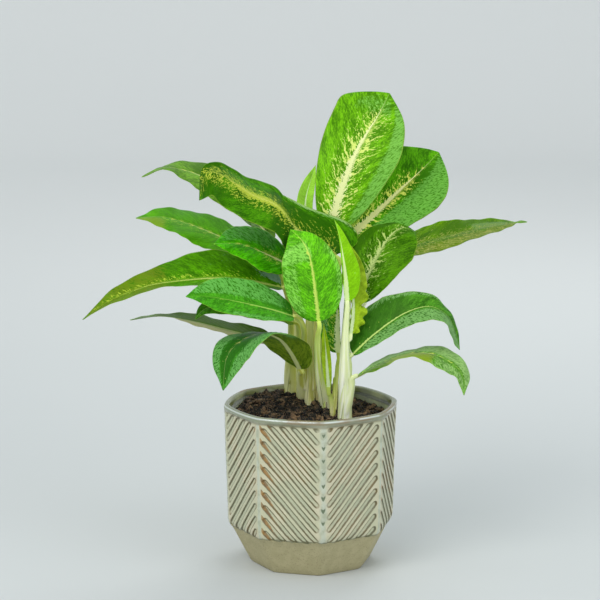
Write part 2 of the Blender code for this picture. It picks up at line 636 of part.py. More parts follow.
def make_shoot(name, shoot, parts, finish):
    """One cane with the stalks of its leaves, joined into a single solid."""
    x, y = shoot["foot"]
    ground = soil_height(x, y)
    radius = shoot["radius"]
    root = cane_mesh(name, (x, y, ground - ROOT_DEPTH), (x, y, ground + 5.0), radius, parts, finish)
    stalks = bpy.data.collections.new(name + "_stalks")
    bpy.context.scene.collection.children.link(stalks)
    trunk = smooth_path([(x, y, ground + 2.5)] + shoot["trunk"], TRUNK_POINTS)
    slim = shoot["narrowing"] - 0.95
    radii = [radius * (0.95 + slim * i / (TRUNK_POINTS - 1)) for i in range(TRUNK_POINTS)]
    tube(name + "_trunk", trunk, radii, stalks)
    for leaf_name, leaf in LEAVES.items():
        if leaf["shoot"] != name:
            continue
        rib = [Vector(p) for p in leaf["rib"]]
        forward = (rib[1] - rib[0]).normalized()
        end = rib[0] - forward * (TOUCH_GAP + 0.2)
        start = trunk[0]
        for spot in trunk:
            if spot.z < leaf["stalk"][0][2] - 8.0:
                start = spot
        path = smooth_path([start] + leaf["stalk"] + [end - forward * 5.0], STALK_POINTS) + [end]
        thick = min(radius * 0.7, STALK_RADIUS)
        radii = [thick + (STALK_TIP_RADIUS - thick) * i / STALK_POINTS for i in range(STALK_POINTS + 1)]
        tube(leaf_name + "_stalk", path, radii, stalks)
    join = root.modifiers.new("Join", "BOOLEAN")
    join.operation = "UNION"
    join.solver = "EXACT"
    join.operand_type = "COLLECTION"
    join.collection = stalks
    bake_modifiers(root)
    for piece in list(stalks.objects):
        bpy.data.objects.remove(piece, do_unlink=True)
    bpy.data.collections.remove(stalks)
    root.data.materials.clear()
    root.data.materials.append(finish)
    return root


def main():
    clear_scene()
    parts = collection("potted_chinese_evergreen")
    cutters = collection("cutters")
    stoneware = material("glazed_stoneware", (0.50, 0.50, 0.37), 0.35)
    peat = material("peat_soil", (0.03, 0.018, 0.012), 0.95)
    cream = material("pale_stem", (0.75, 0.75, 0.48), 0.45)
    green = material("leaf_green", (0.06, 0.30, 0.02), 0.35)
    lime = material("young_leaf_lime", (0.25, 0.60, 0.02), 0.4)
    make_pot(parts, cutters, stoneware)
    make_soil(parts, cutters, peat)
    for name, shoot in SHOOTS.items():
        make_shoot(name, shoot, parts, cream)
    for name, leaf in LEAVES.items():
        young = "young" in name or "sheath" in name
        make_blade(name, leaf, parts, lime if young else green)


main()
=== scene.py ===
import math

import bmesh
import bpy
import numpy as np
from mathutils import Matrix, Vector, noise


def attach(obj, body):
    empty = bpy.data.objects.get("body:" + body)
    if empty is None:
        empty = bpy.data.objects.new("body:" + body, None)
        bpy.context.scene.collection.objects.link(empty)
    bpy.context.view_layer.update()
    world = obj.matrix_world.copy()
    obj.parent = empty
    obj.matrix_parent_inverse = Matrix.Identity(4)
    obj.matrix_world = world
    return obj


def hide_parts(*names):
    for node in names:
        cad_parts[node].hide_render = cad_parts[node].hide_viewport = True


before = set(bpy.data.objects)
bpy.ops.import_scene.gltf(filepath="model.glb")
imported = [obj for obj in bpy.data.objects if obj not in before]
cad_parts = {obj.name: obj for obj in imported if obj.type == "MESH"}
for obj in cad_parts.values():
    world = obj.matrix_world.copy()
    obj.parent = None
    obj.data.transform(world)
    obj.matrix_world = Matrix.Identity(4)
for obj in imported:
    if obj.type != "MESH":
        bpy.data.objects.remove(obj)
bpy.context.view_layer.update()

MM = 0.001
SEED = 11
rng = np.random.default_rng(SEED)

# Camera, fitted to the photograph's 600 x 600 pixels
CAMERA_PLACE = (-8.6, -1742.0, 539.0)
CAMERA_PITCH = 10.63
FOCAL_PIXELS = 2242.0
IMAGE_PIXELS = 600
SENSOR = 36.0

# Stage and lights
STAGE_SIZE = 4000.0
STAGE_BACK = 2500.0
SWEEP = 700.0
WORLD_COLOUR = (0.86, 0.92, 0.95, 1.0)
WORLD_STRENGTH = 0.72
LIGHT_AIM = (0.0, 0.0, 0.2)
# Place, disk size, power, colour, and whether the light shows as a gloss on the leaves
LIGHTS = {
    "key": ((-0.9, -1.3, 1.5), 1.5, 22.0, (1.0, 0.98, 0.95), True),
    "fill": ((1.4, -1.1, 0.9), 1.4, 9.0, (0.98, 0.99, 1.0), True),
    "back": ((0.4, 1.1, 1.4), 0.9, 9.0, (1.0, 1.0, 1.0), False),
}

# Pot
POT_SIDES = 8
POT_TURN = math.radians(8.0)
POT_HEIGHT = 130.0
BASE_RADIUS = 48.6
SHOULDER_RADIUS = 67.8
RIM_RADIUS = 70.4
SHOULDER_HEIGHT = 36.0
BAND_TOP = 28.5
BAND_TOP_RADIUS = 63.6
WALL = 4.9
LIP_DEPTH = 5.0
LIP_STEP = 1.0
FLOOR_THICKNESS = 8.0
CHANNEL_WIDTH = 3.45
CHANNEL_PERIOD = 10.2
CHANNEL_SLOPE = 1.085
CHANNEL_DEPTH = 0.9
CHANNEL_PHASE = 1.1
RELIEF_BOTTOM = 30.0
RELIEF_TOP = 124.0
RIDGE_MARGIN = 3.2
CORNER_CUT = 0.99
CORNER_SHARPNESS = 1.6
RIM_EASING = 1.3
FOOT_RADIUS = 47.9
PIT_DEPTH = 0.55
WALL_HEIGHTS = [0.0, 0.4, 1.4, 14.0, 26.0, 28.5, 30.2, 32.0, 34.0, 36.5, 80.0, 123.5]
WALL_RADII = [47.9, 48.6, 49.6, 56.2, 62.3, 63.7, 65.2, 66.55, 67.35, 67.85, 69.0, 70.2]
FOOT_HEIGHTS = (0.4, 1.4, 6.0, 12.0, 18.0, 24.0, 27.0)
# The lip from outside to inside: inset from the rim, drop from the top, and how round its corners are
LIP = [
    (0.15, 5.2, 0.12), (0.1, 4.0, 0.4), (0.0, 3.0, 0.55), (0.0, 2.0, 0.55), (0.25, 1.0, 0.55),
    (0.8, 0.35, 0.55), (1.6, 0.0, 0.55), (WALL - 2.0, 0.0, 0.55), (WALL - 1.1, 0.25, 0.55),
    (WALL - 0.4, 1.0, 0.55), (WALL, 2.2, 0.495), (WALL, LIP_DEPTH - 1.0, 0.385),
    (WALL + 0.15, LIP_DEPTH - 0.35, 0.275), (WALL + 0.6, LIP_DEPTH, 0.11), (WALL + LIP_STEP, LIP_DEPTH, 0.0)]
LIP_OUTSIDE = 9
# Where the mesh has points along half a side of the pot, and across a channel
SIDE_STOPS = [0.0, 0.015, 0.03, 0.045, 0.0615, 0.068, 0.075, 0.082, 0.09, 0.1, 0.112, 0.125]
CHANNEL_STOPS = [-3.456, -2.5, -2.05, -1.85, -1.65, -1.45, -1.15, -0.55, 0.0, 0.55, 1.15, 1.45, 1.65, 1.85,
                 2.05, 2.5]
PIT_LOWEST = 44.0
PIT_HIGHEST = 121.0
# How much rust pools in the channels of each side
RUST = np.array([0.35, 0.2, 0.3, 0.1, 0.4, 1.0, 0.25, 0.6])

# Soil
SOIL_LEVEL = 120.0
SOIL_TILT = 0.03
MOUND_PLACE = (-14.0, 26.0)
MOUND_HEIGHT = 8.0
MOUND_SPREAD = 22.0
SOIL_LUMPS = 1.3
SOIL_RINGS = 64
SOIL_AROUND = 220
PLUG_TOP = 100.0
PLUG_FOOT = 12.0
CRUMBS = 1500
CRUMB_SMALLEST = 0.55
CRUMB_RANGE = 3.4
FIBRES = 220
FIBRE_SIDES = 5
FIBRE_POINTS = 12
THREAD_POINTS = 24
THREAD_RADIUS = 0.32
ROOT_THREAD = [(12.5, 2.0, 129.0), (12.3, -2.5, 127.0), (13.2, -6.5, 123.5), (15.2, -10.0, 120.6)]

# Blades and stalks
BASE_FULLNESS = 2.3
BASE_HALF_WIDTH = 1.2
WAVES = 2.5
LOBE_SHARE = 0.3
STALK_RADIUS = 3.0
STALK_TIP_RADIUS = 1.6
ROOT_DEPTH = 8.0
TRUNK_POINTS = 48
TRUNK_SIDES = 28
STALK_POINTS = 60
STALK_RISE = 8.0
STALK_SIDES = 24
STALK_GROOVE = 0.22
RIB_STEPS = 96
BLADE_ROWS = 88
BLADE_COLUMNS = 30
VEIN_SPACING = 5.5
SKIN = 0.34
GLOSS_TINT = (0.9, 1.0, 0.5, 1.0)
# kinds of marking on the blades; on a few blades some silver zones are painted sheen, and some dark and warm
# zones are painted shade and glow
PATCH_KINDS = ("silver", "fleck", "dark", "warm")
ZONE_STRENGTH = 0.85
LEAF_DEFAULTS = dict(widest=0.5, base=BASE_FULLNESS, fold=0.12, cup=0.1, wave=1.0, lobe=0.0, steady=0.0)
SCAR_PLACE = (0.0275, -0.0222, 0.1475)
SCAR_SIZE = 0.0013

SHOOTS = {
    "shoot_back": dict(foot=(-16, 30), radius=5.4, trunk=[(-16, 29, 145), (-16, 28, 172)]),
    "shoot_left": dict(foot=(-7, 20), radius=4.0, trunk=[(-8, 16, 145), (-9, 13, 170)]),
    "shoot_middle": dict(foot=(-1, 12), radius=4.0, trunk=[(-1, 12, 145), (-2, 12, 172)]),
    "shoot_tall": dict(foot=(6, 23), radius=4.0, trunk=[(6, 23, 145), (6, 22, 175)]),
    "shoot_front": dict(foot=(12, 5), radius=3.6, trunk=[(11, 4, 145), (9, 1, 170)]),
    "shoot_small": dict(foot=(18, -8), radius=1.9, trunk=[(19, -5, 135), (19, -1, 150)]),
    "shoot_right": dict(foot=(27, -16), radius=6.0, trunk=[(27, -16, 135), (27, -16, 155)]),
}

# A face row is a share of the midrib's length and the direction that the blade's upper side looks in there.
# Where a value is a pair, the first is for the left half, seen from the upper side with the tip ahead.
LEAVES = {
    "leaf_crown_tall": dict(
        shoot="shoot_tall", stalk=[(6, 25, 200), (12, 29, 236)],
        rib=[(15, 31, 262), (20, 32, 281), (28, 36, 305), (36, 42, 324), (45, 49, 339), (54, 57, 352),
             (64, 71, 369)],
        face=[(0, 0.1, -0.9, 0.3), (1, 0.0, -0.6, 0.8)],
        halves=(36, 34), widest=(0.8, 0.56), blunt=(1.65, 1.2), base=(1.0, 1.4), fold=0.1, wave=0.8),
    "leaf_crown_right": dict(
        shoot="shoot_right", stalk=[(27, -8, 160), (28, 4, 186), (30, 22, 217), (31, 35, 244)],
        rib=[(31, 38, 256), (40, 42, 264), (51, 48, 273), (67, 57, 287), (92, 71, 308), (105, 79, 320)],
        face=[(0, 0.0, -0.85, 0.5), (1, 0.1, -0.6, 0.8)],
        halves=(37, 33), widest=(0.55, 0.64), blunt=(2.1, 1.35), base=(2.3, 1.3), fold=0.1, wave=0.8),
    "leaf_young_back": dict(
        shoot="shoot_middle", stalk=[(-1, 18, 205), (-3, 36, 240)],
        rib=[(-3, 44, 256), (-4, 47, 285), (4, 51, 313)],
        face=[(0, -0.2, -0.95, 0.2)],
        halves=(6, 6), blunt=1.2, fold=0.4, cup=0.0, wave=0.0),
    "leaf_crown_left": dict(
        shoot="shoot_front", stalk=[(10, 7, 172), (12, 12, 195), (20, 11, 226)],
        rib=[(19, 6, 246), (9, 3, 256), (-1, -1, 262), (-12, -3, 270), (-26, -7, 288), (-47, -16, 299),
             (-69, -28, 315), (-81, -35, 316), (-86, -39, 297)],
        face=[(0, 0.1, -1.0, 0.1), (0.35, 0.0, -0.5, 0.85), (0.7, -0.1, -0.6, 0.8),
              (1, -0.4, -0.6, 0.6)],
        halves=(27, 31), widest=(0.55, 0.32), blunt=(1.9, 1.0), base=(1.7, 3.2), fold=-0.2, cup=0.0,
        wave=0.8, lobe=(0.2, 1.4), steady=0.7),
    "leaf_far_left": dict(
        shoot="shoot_back", stalk=[(-14, 33, 200), (-20, 38, 238)],
        rib=[(-30, 38, 254), (-44, 40, 269), (-57, 41, 284), (-71, 44, 295), (-89, 46, 305),
             (-105, 47, 310), (-118, 46, 311), (-136, 44, 304)],
        face=[(0, 0.0, -0.2, 1.0), (0.6, 0.0, -0.4, 0.9), (0.75, 0.0, -0.25, 0.95),
              (0.86, 0.0, 0.12, 0.99), (1, 0.0, -0.35, 0.94)],
        halves=(20, 22), blunt=1.0, base=(1.1, 2.3)),
    "leaf_left_upper": dict(
        shoot="shoot_back", stalk=[(-16, 30, 200), (-30, 26, 236)],
        rib=[(-48, 27, 246), (-73, 37, 257), (-97, 42, 266), (-121, 43, 272), (-141, 43, 271)],
        face=[(0, 0.0, -0.28, 0.96)],
        halves=(26, 24), widest=0.45, blunt=1.3),
    "leaf_left_dark": dict(
        shoot="shoot_left", stalk=[(-9, 14, 195), (-11, 11, 222)],
        rib=[(-17, 5, 239), (-39, -2, 251), (-56, -7, 258), (-76, -12, 259)],
        face=[(0, 0.0, -0.6, 0.8), (1, 0.0, -0.5, 0.85)],
        halves=(20, 24), widest=0.45, blunt=1.3, wave=0.8),
    "leaf_left_long": dict(
        shoot="shoot_left", stalk=[(-9, 8, 190), (-14, 4, 208)],
        rib=[(-23, 0, 222), (-52, -8, 229), (-79, -16, 232), (-117, -26, 230), (-135, -31, 226),
             (-156, -36, 218), (-177, -41, 204)],
        face=[(0, 0.0, -0.4, 0.9), (1, -0.2, -0.4, 0.9)],
        halves=(17, 27), widest=(0.45, 0.3), blunt=(1.2, 0.62), fold=0.35, cup=0.0),
    "leaf_left_silver": dict(
        shoot="shoot_left", stalk=[(-5, -1, 178), (-6, -13, 194)],
        rib=[(-14, -20, 203), (-32, -33, 211), (-58, -48, 220), (-80, -55, 225), (-96, -60, 226)],
        face=[(0, -0.1, -0.67, 0.74)],
        halves=(18, 20), widest=(0.52, 0.45), blunt=1.4, base=(1.5, 2.6), fold=0.25, cup=0.0, wave=0.8),
    "leaf_left_under": dict(
        shoot="shoot_left", stalk=[(-9, 9, 178)],
        rib=[(-14, 2, 194), (-24, -3, 201), (-39, -8, 206), (-67, -14, 210), (-83, -18, 208),
             (-91, -20, 200)],
        face=[(0, 0.0, -0.4, 0.9)],
        halves=(14, 16), widest=0.45, blunt=1.3, wave=0.6, lobe=(0.0, 1.2)),
    "leaf_left_low": dict(
        shoot="shoot_back", stalk=[(-18, 24, 170)],
        rib=[(-25, 15, 174), (-49, 13, 181), (-72, 13, 187), (-96, 14, 193), (-120, 17, 196),
             (-145, 20, 192)],
        face=[(0, 0.0, 0.5, 0.85), (0.5, 0.0, 0.42, 0.9), (1, 0.0, 0.2, 1.0)],
        halves=(20, 22), widest=0.4, blunt=1.2, cup=0.05),
    "leaf_front_drooping": dict(
        shoot="shoot_left", stalk=[(-8, 8, 150)],
        rib=[(-9, -5, 158), (-16, -14, 173), (-25, -24, 186), (-38, -34, 192), (-54, -44, 188),
             (-65, -50, 176), (-68, -55, 151)],
        face=[(0, 0.4, 0.5, 0.7), (0.5, 0.0, 0.2, 1.0), (0.72, -0.5, -0.5, 0.6),
              (1, -0.6, -0.75, 0.2)],
        halves=(25, 23), widest=0.45, blunt=(1.6, 1.25), fold=0.1, wave=0.8),
    "leaf_front_oval": dict(
        shoot="shoot_front", stalk=[(6, -5, 158), (5, -16, 182)],
        rib=[(6, -26, 200), (4, -28, 217), (0, -30, 247), (-6, -26, 262), (-16, -16, 271)],
        face=[(0, 0.05, -0.95, 0.2), (1, 0.0, -0.8, 0.6)],
        halves=(23, 21.5), widest=(0.5, 0.42), blunt=(1.5, 1.05), fold=0.08, cup=0.12, wave=0.5),
    "leaf_young_folded": dict(
        shoot="shoot_right", stalk=[(27, -21, 185)],
        rib=[(28, -25, 216), (27, -25, 233), (25, -24, 250), (22, -20, 267), (18, -15, 279)],
        face=[(0, 0.1, -1.0, 0.0)],
        halves=(1.5, 10.6), widest=0.38, blunt=0.64, fold=0.3, cup=0.0, wave=0.3),
    "leaf_young_frill": dict(
        shoot="shoot_right", stalk=[(28, -19, 180)],
        rib=[(31, -20, 189), (33, -19, 203), (33, -18, 220), (31, -17, 240), (28, -15, 262)],
        face=[(0, 0.1, -1.0, 0.1)],
        halves=(1.5, 11), widest=0.55, blunt=1.15, base=4.0, fold=0.1, cup=0.0, wave=1.5),
    "leaf_right_dark": dict(
        shoot="shoot_right", stalk=[(28, -9, 160), (30, 0, 184)],
        rib=[(38, -3, 211), (44, 0, 230), (52, 7, 246), (62, 15, 260), (73, 23, 266), (84, 30, 262)],
        face=[(0, 0.0, -0.85, 0.5), (1, 0.1, -0.2, 0.95)],
        halves=(21, 27), widest=(0.4, 0.55), blunt=(1.3, 1.7), base=(2.3, 0.95), wave=0.8),
    "leaf_right_long": dict(
        shoot="shoot_right", stalk=[(28, -8, 160), (32, 6, 186), (48, 30, 217)],
        rib=[(65, 41, 245), (81, 45, 249), (108, 47, 256), (132, 45, 262), (152, 38, 267), (173, 29, 270)],
        face=[(0, 0.0, 0.7, 0.7), (0.6, 0.0, 0.55, 0.85), (0.85, 0.0, 0.35, 0.95),
              (0.93, 0.0, 0.1, 1.0), (1, 0.0, -0.1, 1.0)],
        halves=(24, 20), widest=0.35, blunt=(1.8, 1.4), cup=0.05),
    "leaf_right_arching": dict(
        shoot="shoot_right", stalk=[(30, -17, 160)],
        rib=[(33, -17, 172), (49, -20, 188), (72, -22, 205), (92, -22, 211), (106, -20, 204),
             (113, -18, 191), (117, -16, 175)],
        face=[(0, -0.2, -0.65, 0.75), (0.45, -0.1, -0.65, 0.75), (0.7, 0.3, -0.35, 0.9),
              (1, 0.8, -0.5, 0.3)],
        halves=(22, 19), widest=(0.36, 0.64), blunt=(0.5, 1.5), base=(2.3, 0.8), fold=0.15, cup=0.0),
    "leaf_right_low": dict(
        shoot="shoot_right", stalk=[(32, -20, 146)],
        rib=[(37, -22, 156), (55, -24, 166), (74, -27, 174), (94, -30, 175), (110, -34, 168),
             (118, -37, 159), (119, -41, 144)],
        face=[(0, -0.1, 0.0, 1.0), (0.45, -0.05, 0.02, 1.0), (0.62, 0.1, -0.15, 0.95),
              (0.8, 0.5, -0.5, 0.7), (1, 0.85, -0.4, 0.3)],
        halves=(19, 19), blunt=1.3, base=3.5, fold=0.1),
    "leaf_inner_dark": dict(
        shoot="shoot_small", stalk=[(21, 1, 156)],
        rib=[(22, 1, 169), (21, 3, 192), (21, 7, 223)],
        face=[(0, -0.1, -0.95, 0.2)],
        halves=(14, 1.5), blunt=1.3, fold=0.1, wave=0.4),
    "leaf_sheath": dict(
        shoot="shoot_small", stalk=[(16, -7, 134)],
        rib=[(14, -8, 143), (13, -8, 157), (12, -8, 171), (11, -7, 182), (10, -6, 195)],
        face=[(0, 0.0, -1.0, 0.0)],
        halves=(3, 3), widest=0.4, blunt=1.2, base=1.4, fold=0.3, cup=0.0, wave=0.0),
}
LEAVES = {name: dict(LEAF_DEFAULTS, **leaf) for name, leaf in LEAVES.items()}


def unit(vectors):
    return vectors / np.maximum(np.linalg.norm(vectors, axis=-1, keepdims=True), 1e-9)


def smoothstep(low, high, value):
    share = np.clip((value - low) / (high - low), 0.0, 1.0)
    return share * share * (3.0 - 2.0 * share)


def make_object(name, points, faces, finish, smooth=True):
    """A mesh object in the row frame from millimetres."""
    mesh = bpy.data.meshes.new(name)
    mesh.from_pydata((np.asarray(points, float) * MM).tolist(), [], faces)
    mesh.polygons.foreach_set("use_smooth", [smooth] * len(mesh.polygons))
    mesh.materials.append(finish)
    made = bpy.data.objects.new(name, mesh)
    bpy.context.scene.collection.objects.link(made)
    return made


def make_piece(name, points, faces, finish, attributes=None, smooth=True):
    """A visible piece with its stored attributes, riding on the root body."""
    piece = make_object(name, points, faces, finish, smooth)
    mesh = piece.data
    for key, values in (attributes or {}).items():
        values = np.asarray(values, np.float32)
        kind = "FLOAT" if values.ndim == 1 else "FLOAT_VECTOR"
        stored = mesh.attributes.new(key, kind, "POINT")
        stored.data.foreach_set("value" if kind == "FLOAT" else "vector", values.ravel())
    mesh.update()
    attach(piece, "root")
    return piece


def ring_faces(rows, around, first=0):
    """Quads between rings of equal count, stored one after the other."""
    base = first + np.arange(rows - 1)[:, None] * around
    here = base + np.arange(around)
    ahead = base + (np.arange(around) + 1) % around
    return np.stack([here, ahead, ahead + around, here + around], -1).reshape(-1, 4).tolist()


def add_tube(parts, faces, ring):
    """Append a tube to a list of parts, and its sides and two ends to the faces."""
    first = sum(len(part) for part in parts)
    rows, around = ring.shape[:2]
    parts.append(ring.reshape(-1, 3))
    faces += ring_faces(rows, around, first)
    faces.append([first + i for i in reversed(range(around))])
    faces.append([first + (rows - 1) * around + i for i in range(around)])


def smooth_path(points, count):
    """Evenly spaced points on a smooth curve through a few chosen ones."""
    chosen = np.array(points, float)
    if len(chosen) == 2:
        dense = chosen[0] + np.linspace(0.0, 1.0, 33)[:, None] * (chosen[1] - chosen[0])
    else:
        ends = np.vstack([2 * chosen[0] - chosen[1], chosen, 2 * chosen[-1] - chosen[-2]])
        t = (np.arange(16) / 16)[:, None]
        spans = []
        for a, b, c, d in zip(ends, ends[1:], ends[2:], ends[3:]):
            square = (2 * a - 5 * b + 4 * c - d) * t ** 2
            spans.append(0.5 * (2 * b + (c - a) * t + square + (3 * b - 3 * c + d - a) * t ** 3))
        dense = np.vstack(spans + [chosen[-1:]])
    along = np.concatenate([[0.0], np.cumsum(np.linalg.norm(np.diff(dense, axis=0), axis=1))])
    want = np.linspace(0.0, along[-1], count)
    return np.stack([np.interp(want, along, dense[:, k]) for k in range(3)], 1)


class Value:
    """One output of a node, for sums, differences, products and quotients of node values."""

    def __init__(self, shader, socket):
        self.shader = shader
        self.socket = socket

    def __add__(self, other):
        return self.shader.calc("ADD", self, other)

    def __sub__(self, other):
        return self.shader.calc("SUBTRACT", self, other)

    def __mul__(self, other):
        return self.shader.calc("MULTIPLY", self, other)

    def __truediv__(self, other):
        return self.shader.calc("DIVIDE", self, other)


class Shader:
    """A material's node tree, with short calls for the nodes used here."""

    def __init__(self, name, **sockets):
        self.material = bpy.data.materials.new(name)
        self.material.use_nodes = True
        self.tree = self.material.node_tree
        self.body = self.tree.nodes["Principled BSDF"]
        self.paint(**sockets)

    def feed(self, socket, value):
        """Link a socket or set its value. A colour of three parts gets its fourth here."""
        if isinstance(value, Value):
            self.tree.links.new(value.socket, socket)
        elif socket.type == "RGBA" and len(value) == 3:
            socket.default_value = (*value, 1.0)
        else:
            socket.default_value = value

    def paint(self, **sockets):
        for socket, value in sockets.items():
            self.feed(self.body.inputs[socket.replace("_", " ")], value)

    def node(self, kind, inputs, output=0, **settings):
        """One output of a new node."""
        made = self.tree.nodes.new("ShaderNode" + kind)
        for key, value in settings.items():
            setattr(made, key, value)
        for key, value in inputs.items():
            self.feed(made.inputs[key], value)
        return Value(self, made.outputs[output])

    def calc(self, operation, a, b=0.0):
        return self.node("Math", {0: a, 1: b}, operation=operation)

    def step(self, value, low, high, start=0.0, end=1.0):
        """Smoothly from start to end as value goes from low to high."""
        inputs = {0: value, 1: low, 2: high, 3: start, 4: end}
        return self.node("MapRange", inputs, interpolation_type="SMOOTHSTEP")

    def band(self, value, low, full_from, full_to, high):
        """One between full_from and full_to, falling smoothly to zero at low and high."""
        return self.step(value, low, full_from) * self.step(value, high, full_to)

    def mix(self, share, a, b):
        return self.node("Mix", {0: share, 6: a, 7: b}, 2, data_type="RGBA")

    def stored(self, name, output="Fac"):
        return self.node("Attribute", {}, output, attribute_name=name)

    def split(self, vector):
        made = self.node("SeparateXYZ", {0: vector}).socket.node
        return [Value(self, socket) for socket in made.outputs]

    def place(self):
        """Position in metres in the row frame."""
        return self.node("TexCoord", {}, "Object")

    def noise(self, vector, scale, detail=3.0):
        return self.node("TexNoise", {"Vector": vector, "Scale": scale, "Detail": detail})

    def stretched(self, vector, x, y, z=1.0, detail=2.0):
        """Noise of a vector whose parts are scaled first."""
        scaled = self.node("VectorMath", {0: vector, 1: (x, y, z)}, operation="MULTIPLY")
        return self.noise(scaled, 1.0, detail)

    def bump(self, height, strength, distance):
        made = self.node("Bump", {"Height": height, "Strength": strength, "Distance": distance})
        self.paint(Normal=made)


def half_outline(t, widest, blunt, base):
    """Share of a half blade's greatest width at shares t of its length."""
    rise = np.sqrt(np.clip(1.0 - np.clip(1.0 - t / widest, 0.0, 1.0) ** base, 0.0, 1.0))
    fall = np.cos(0.5 * math.pi * np.clip((t - widest) / (1.0 - widest), 0.0, 1.0) ** blunt)
    return np.where(t < widest, rise, fall)


def by_side(value, far):
    """A value that both halves of a blade share, or the one of each half."""
    return np.where(far, value[1], value[0]) if isinstance(value, tuple) else value


def blade_frames(leaf, t):
    """Midrib points and the forward, side and up directions of a blade at shares t of its length."""
    rib = smooth_path(leaf["rib"], RIB_STEPS + 1)
    at = np.arange(RIB_STEPS + 1)
    forward = unit(rib[np.minimum(at + 6, RIB_STEPS)] - rib[np.maximum(at - 5, 0)])
    forward = unit(forward + (unit(rib[-1] - rib[0]) - forward) * leaf["steady"])
    faces = np.array(leaf["face"], float)
    blend = lambda rows, keys: np.stack([np.interp(t, keys, rows[:, k]) for k in range(3)], 1)
    shares = at / RIB_STEPS
    spot = blend(rib, shares)
    forward = unit(blend(forward, shares))
    side = unit(np.cross(forward, blend(unit(faces[:, 1:]), faces[:, 0])))
    up = unit(np.cross(side, forward))
    length = np.linalg.norm(np.diff(rib, axis=0), axis=1).sum()
    return spot, forward, side, up, length


def make_blade(name, leaf, look, finish, seed):
    """One blade as a closed, thin solid: channelled midrib above, ridge below, veins and waved margins."""
    even = np.arange(BLADE_ROWS) / BLADE_ROWS
    t = 0.6 * even + 0.2 * (1.0 - np.cos(math.pi * even))
    spot, forward, side, up, length = blade_frames(leaf, t)
    u = np.sin(np.linspace(-0.5, 0.5, BLADE_COLUMNS + 1) * math.pi * 0.8) / math.sin(0.4 * math.pi)
    t2, u2 = np.meshgrid(t, u, indexing="ij")
    far = u2 > 0.0
    spread = half_outline(t2, *(by_side(leaf[key], far) for key in ("widest", "blunt", "base")))
    half = by_side(leaf["halves"], far) * spread + BASE_HALF_WIDTH * (1.0 - t2)
    for spot_t, depth, reach in look["notches"]:
        half = half * (1.0 - depth * np.exp(-((t2 - spot_t) / reach) ** 2))
    lift = leaf["fold"] * np.abs(u2) * half - leaf["cup"] * u2 * u2 * half
    ripple = leaf["wave"] * np.sin(math.tau * (WAVES * t2 + 0.23 * u2))
    ripple += 0.35 * leaf["wave"] * np.sin(math.tau * (3.1 * WAVES * t2 - 0.4 * u2) + seed)
    lift += u2 * u2 * ripple * np.minimum(1.0, half / 8.0)
    sweep = by_side(leaf["lobe"], far) * np.maximum(0.0, 1.0 - t2 / LOBE_SHARE)
    back = sweep * np.abs(u2) * np.maximum(0.0, half - STALK_TIP_RADIUS - 2.4)
    ruffle, ruffle_reach = look["ruffle"]
    fringe = smoothstep(0.35, 1.0, np.abs(u2)) * smoothstep(ruffle_reach, 0.0, t2)
    lift += ruffle * fringe * np.sin(math.tau * 11.0 * t2 + 5.0 * u2)
    roll = by_side(look["roll"], far) * smoothstep(0.72, 1.0, np.abs(u2)) * np.minimum(1.0, half / 12.0)
    across = np.abs(u2) * half
    origin = t2 * length - 0.75 * across - 0.012 * across ** 2
    amount = smoothstep(0.0, 6.0, across) * smoothstep(1.0, 0.75, np.abs(u2)) * smoothstep(4.0, 14.0, half)
    quilt = look["quilt"] * amount * np.cos(math.tau * origin / VEIN_SPACING)
    narrow = (1.0 - t2) ** 0.8
    channel = -0.55 * narrow * np.exp(-(across / 1.5) ** 2)
    skin = SKIN * np.sqrt(np.clip(1.0 - np.abs(u2) ** 6, 0.0, 1.0))
    keel = look["ridge"] * (0.15 + 1.25 * (1.0 - t2) ** 1.3) * np.exp(-(across / (0.8 + 1.0 * narrow)) ** 2)
    flat = spot[:, None] + side[:, None] * (u2 * half * (1.0 - 0.12 * roll / 3.0))[..., None]
    flat = flat - forward[:, None] * back[..., None]
    top = flat + up[:, None] * (lift + roll + quilt + channel + skin)[..., None]
    low = flat + up[:, None] * (lift + roll + quilt - keel - skin)[..., None]
    rings = np.concatenate([top, low[:, -2:0:-1]], axis=1)
    around = rings.shape[1]
    points = np.vstack([rings.reshape(-1, 3), [leaf["rib"][-1]]])
    faces = ring_faces(BLADE_ROWS, around)
    last = (BLADE_ROWS - 1) * around
    faces += [[last + i, last + (i + 1) % around, len(points) - 1] for i in range(around)]
    faces.append(list(range(around))[::-1])
    wrap = lambda rows: np.concatenate([rows, rows[:, -2:0:-1]], axis=1).ravel()
    fill = lambda rows, end: np.append(wrap(rows), end)
    under = np.zeros((BLADE_ROWS, around))
    under[:, BLADE_COLUMNS + 1:] = 1.0
    weights = patch_weights(look["zones"], t2, u2)
    shift = seed * 9.7
    own = fill(far * 40.0 + shift, shift)
    attributes = {
        "vein": np.stack([fill(across * 1.3, 0.0), fill(origin, length), own], 1),
        "zone": np.stack([fill(t2, 1.0), fill(across, 0.0), fill(np.abs(u2), 1.0)], 1),
        "patches": np.stack([fill(rows, 0.0) for rows in weights[:3]], 1),
        "warm": fill(weights[3], 0.0),
        "under": np.append(under.ravel(), 0.0),
    }
    piece = make_piece("blade_" + name[5:], points, faces, finish, attributes)
    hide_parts(name)


def patch_weights(zones, t, u):
    """How strongly each kind of marking shows at every point: soft boxes over the blade, as listed."""
    weights = {kind: np.zeros(t.shape) for kind in PATCH_KINDS}
    for kind, t_low, t_high, u_low, u_high, amount in zones:
        along = smoothstep(t_low - 0.07, t_low + 0.07, t) * smoothstep(t_high + 0.07, t_high - 0.07, t)
        over = smoothstep(u_low - 0.13, u_low + 0.13, u) * smoothstep(u_high + 0.13, u_high - 0.13, u)
        weights[kind] = np.maximum(weights[kind], amount * along * over)
    return [weights[kind] for kind in PATCH_KINDS]


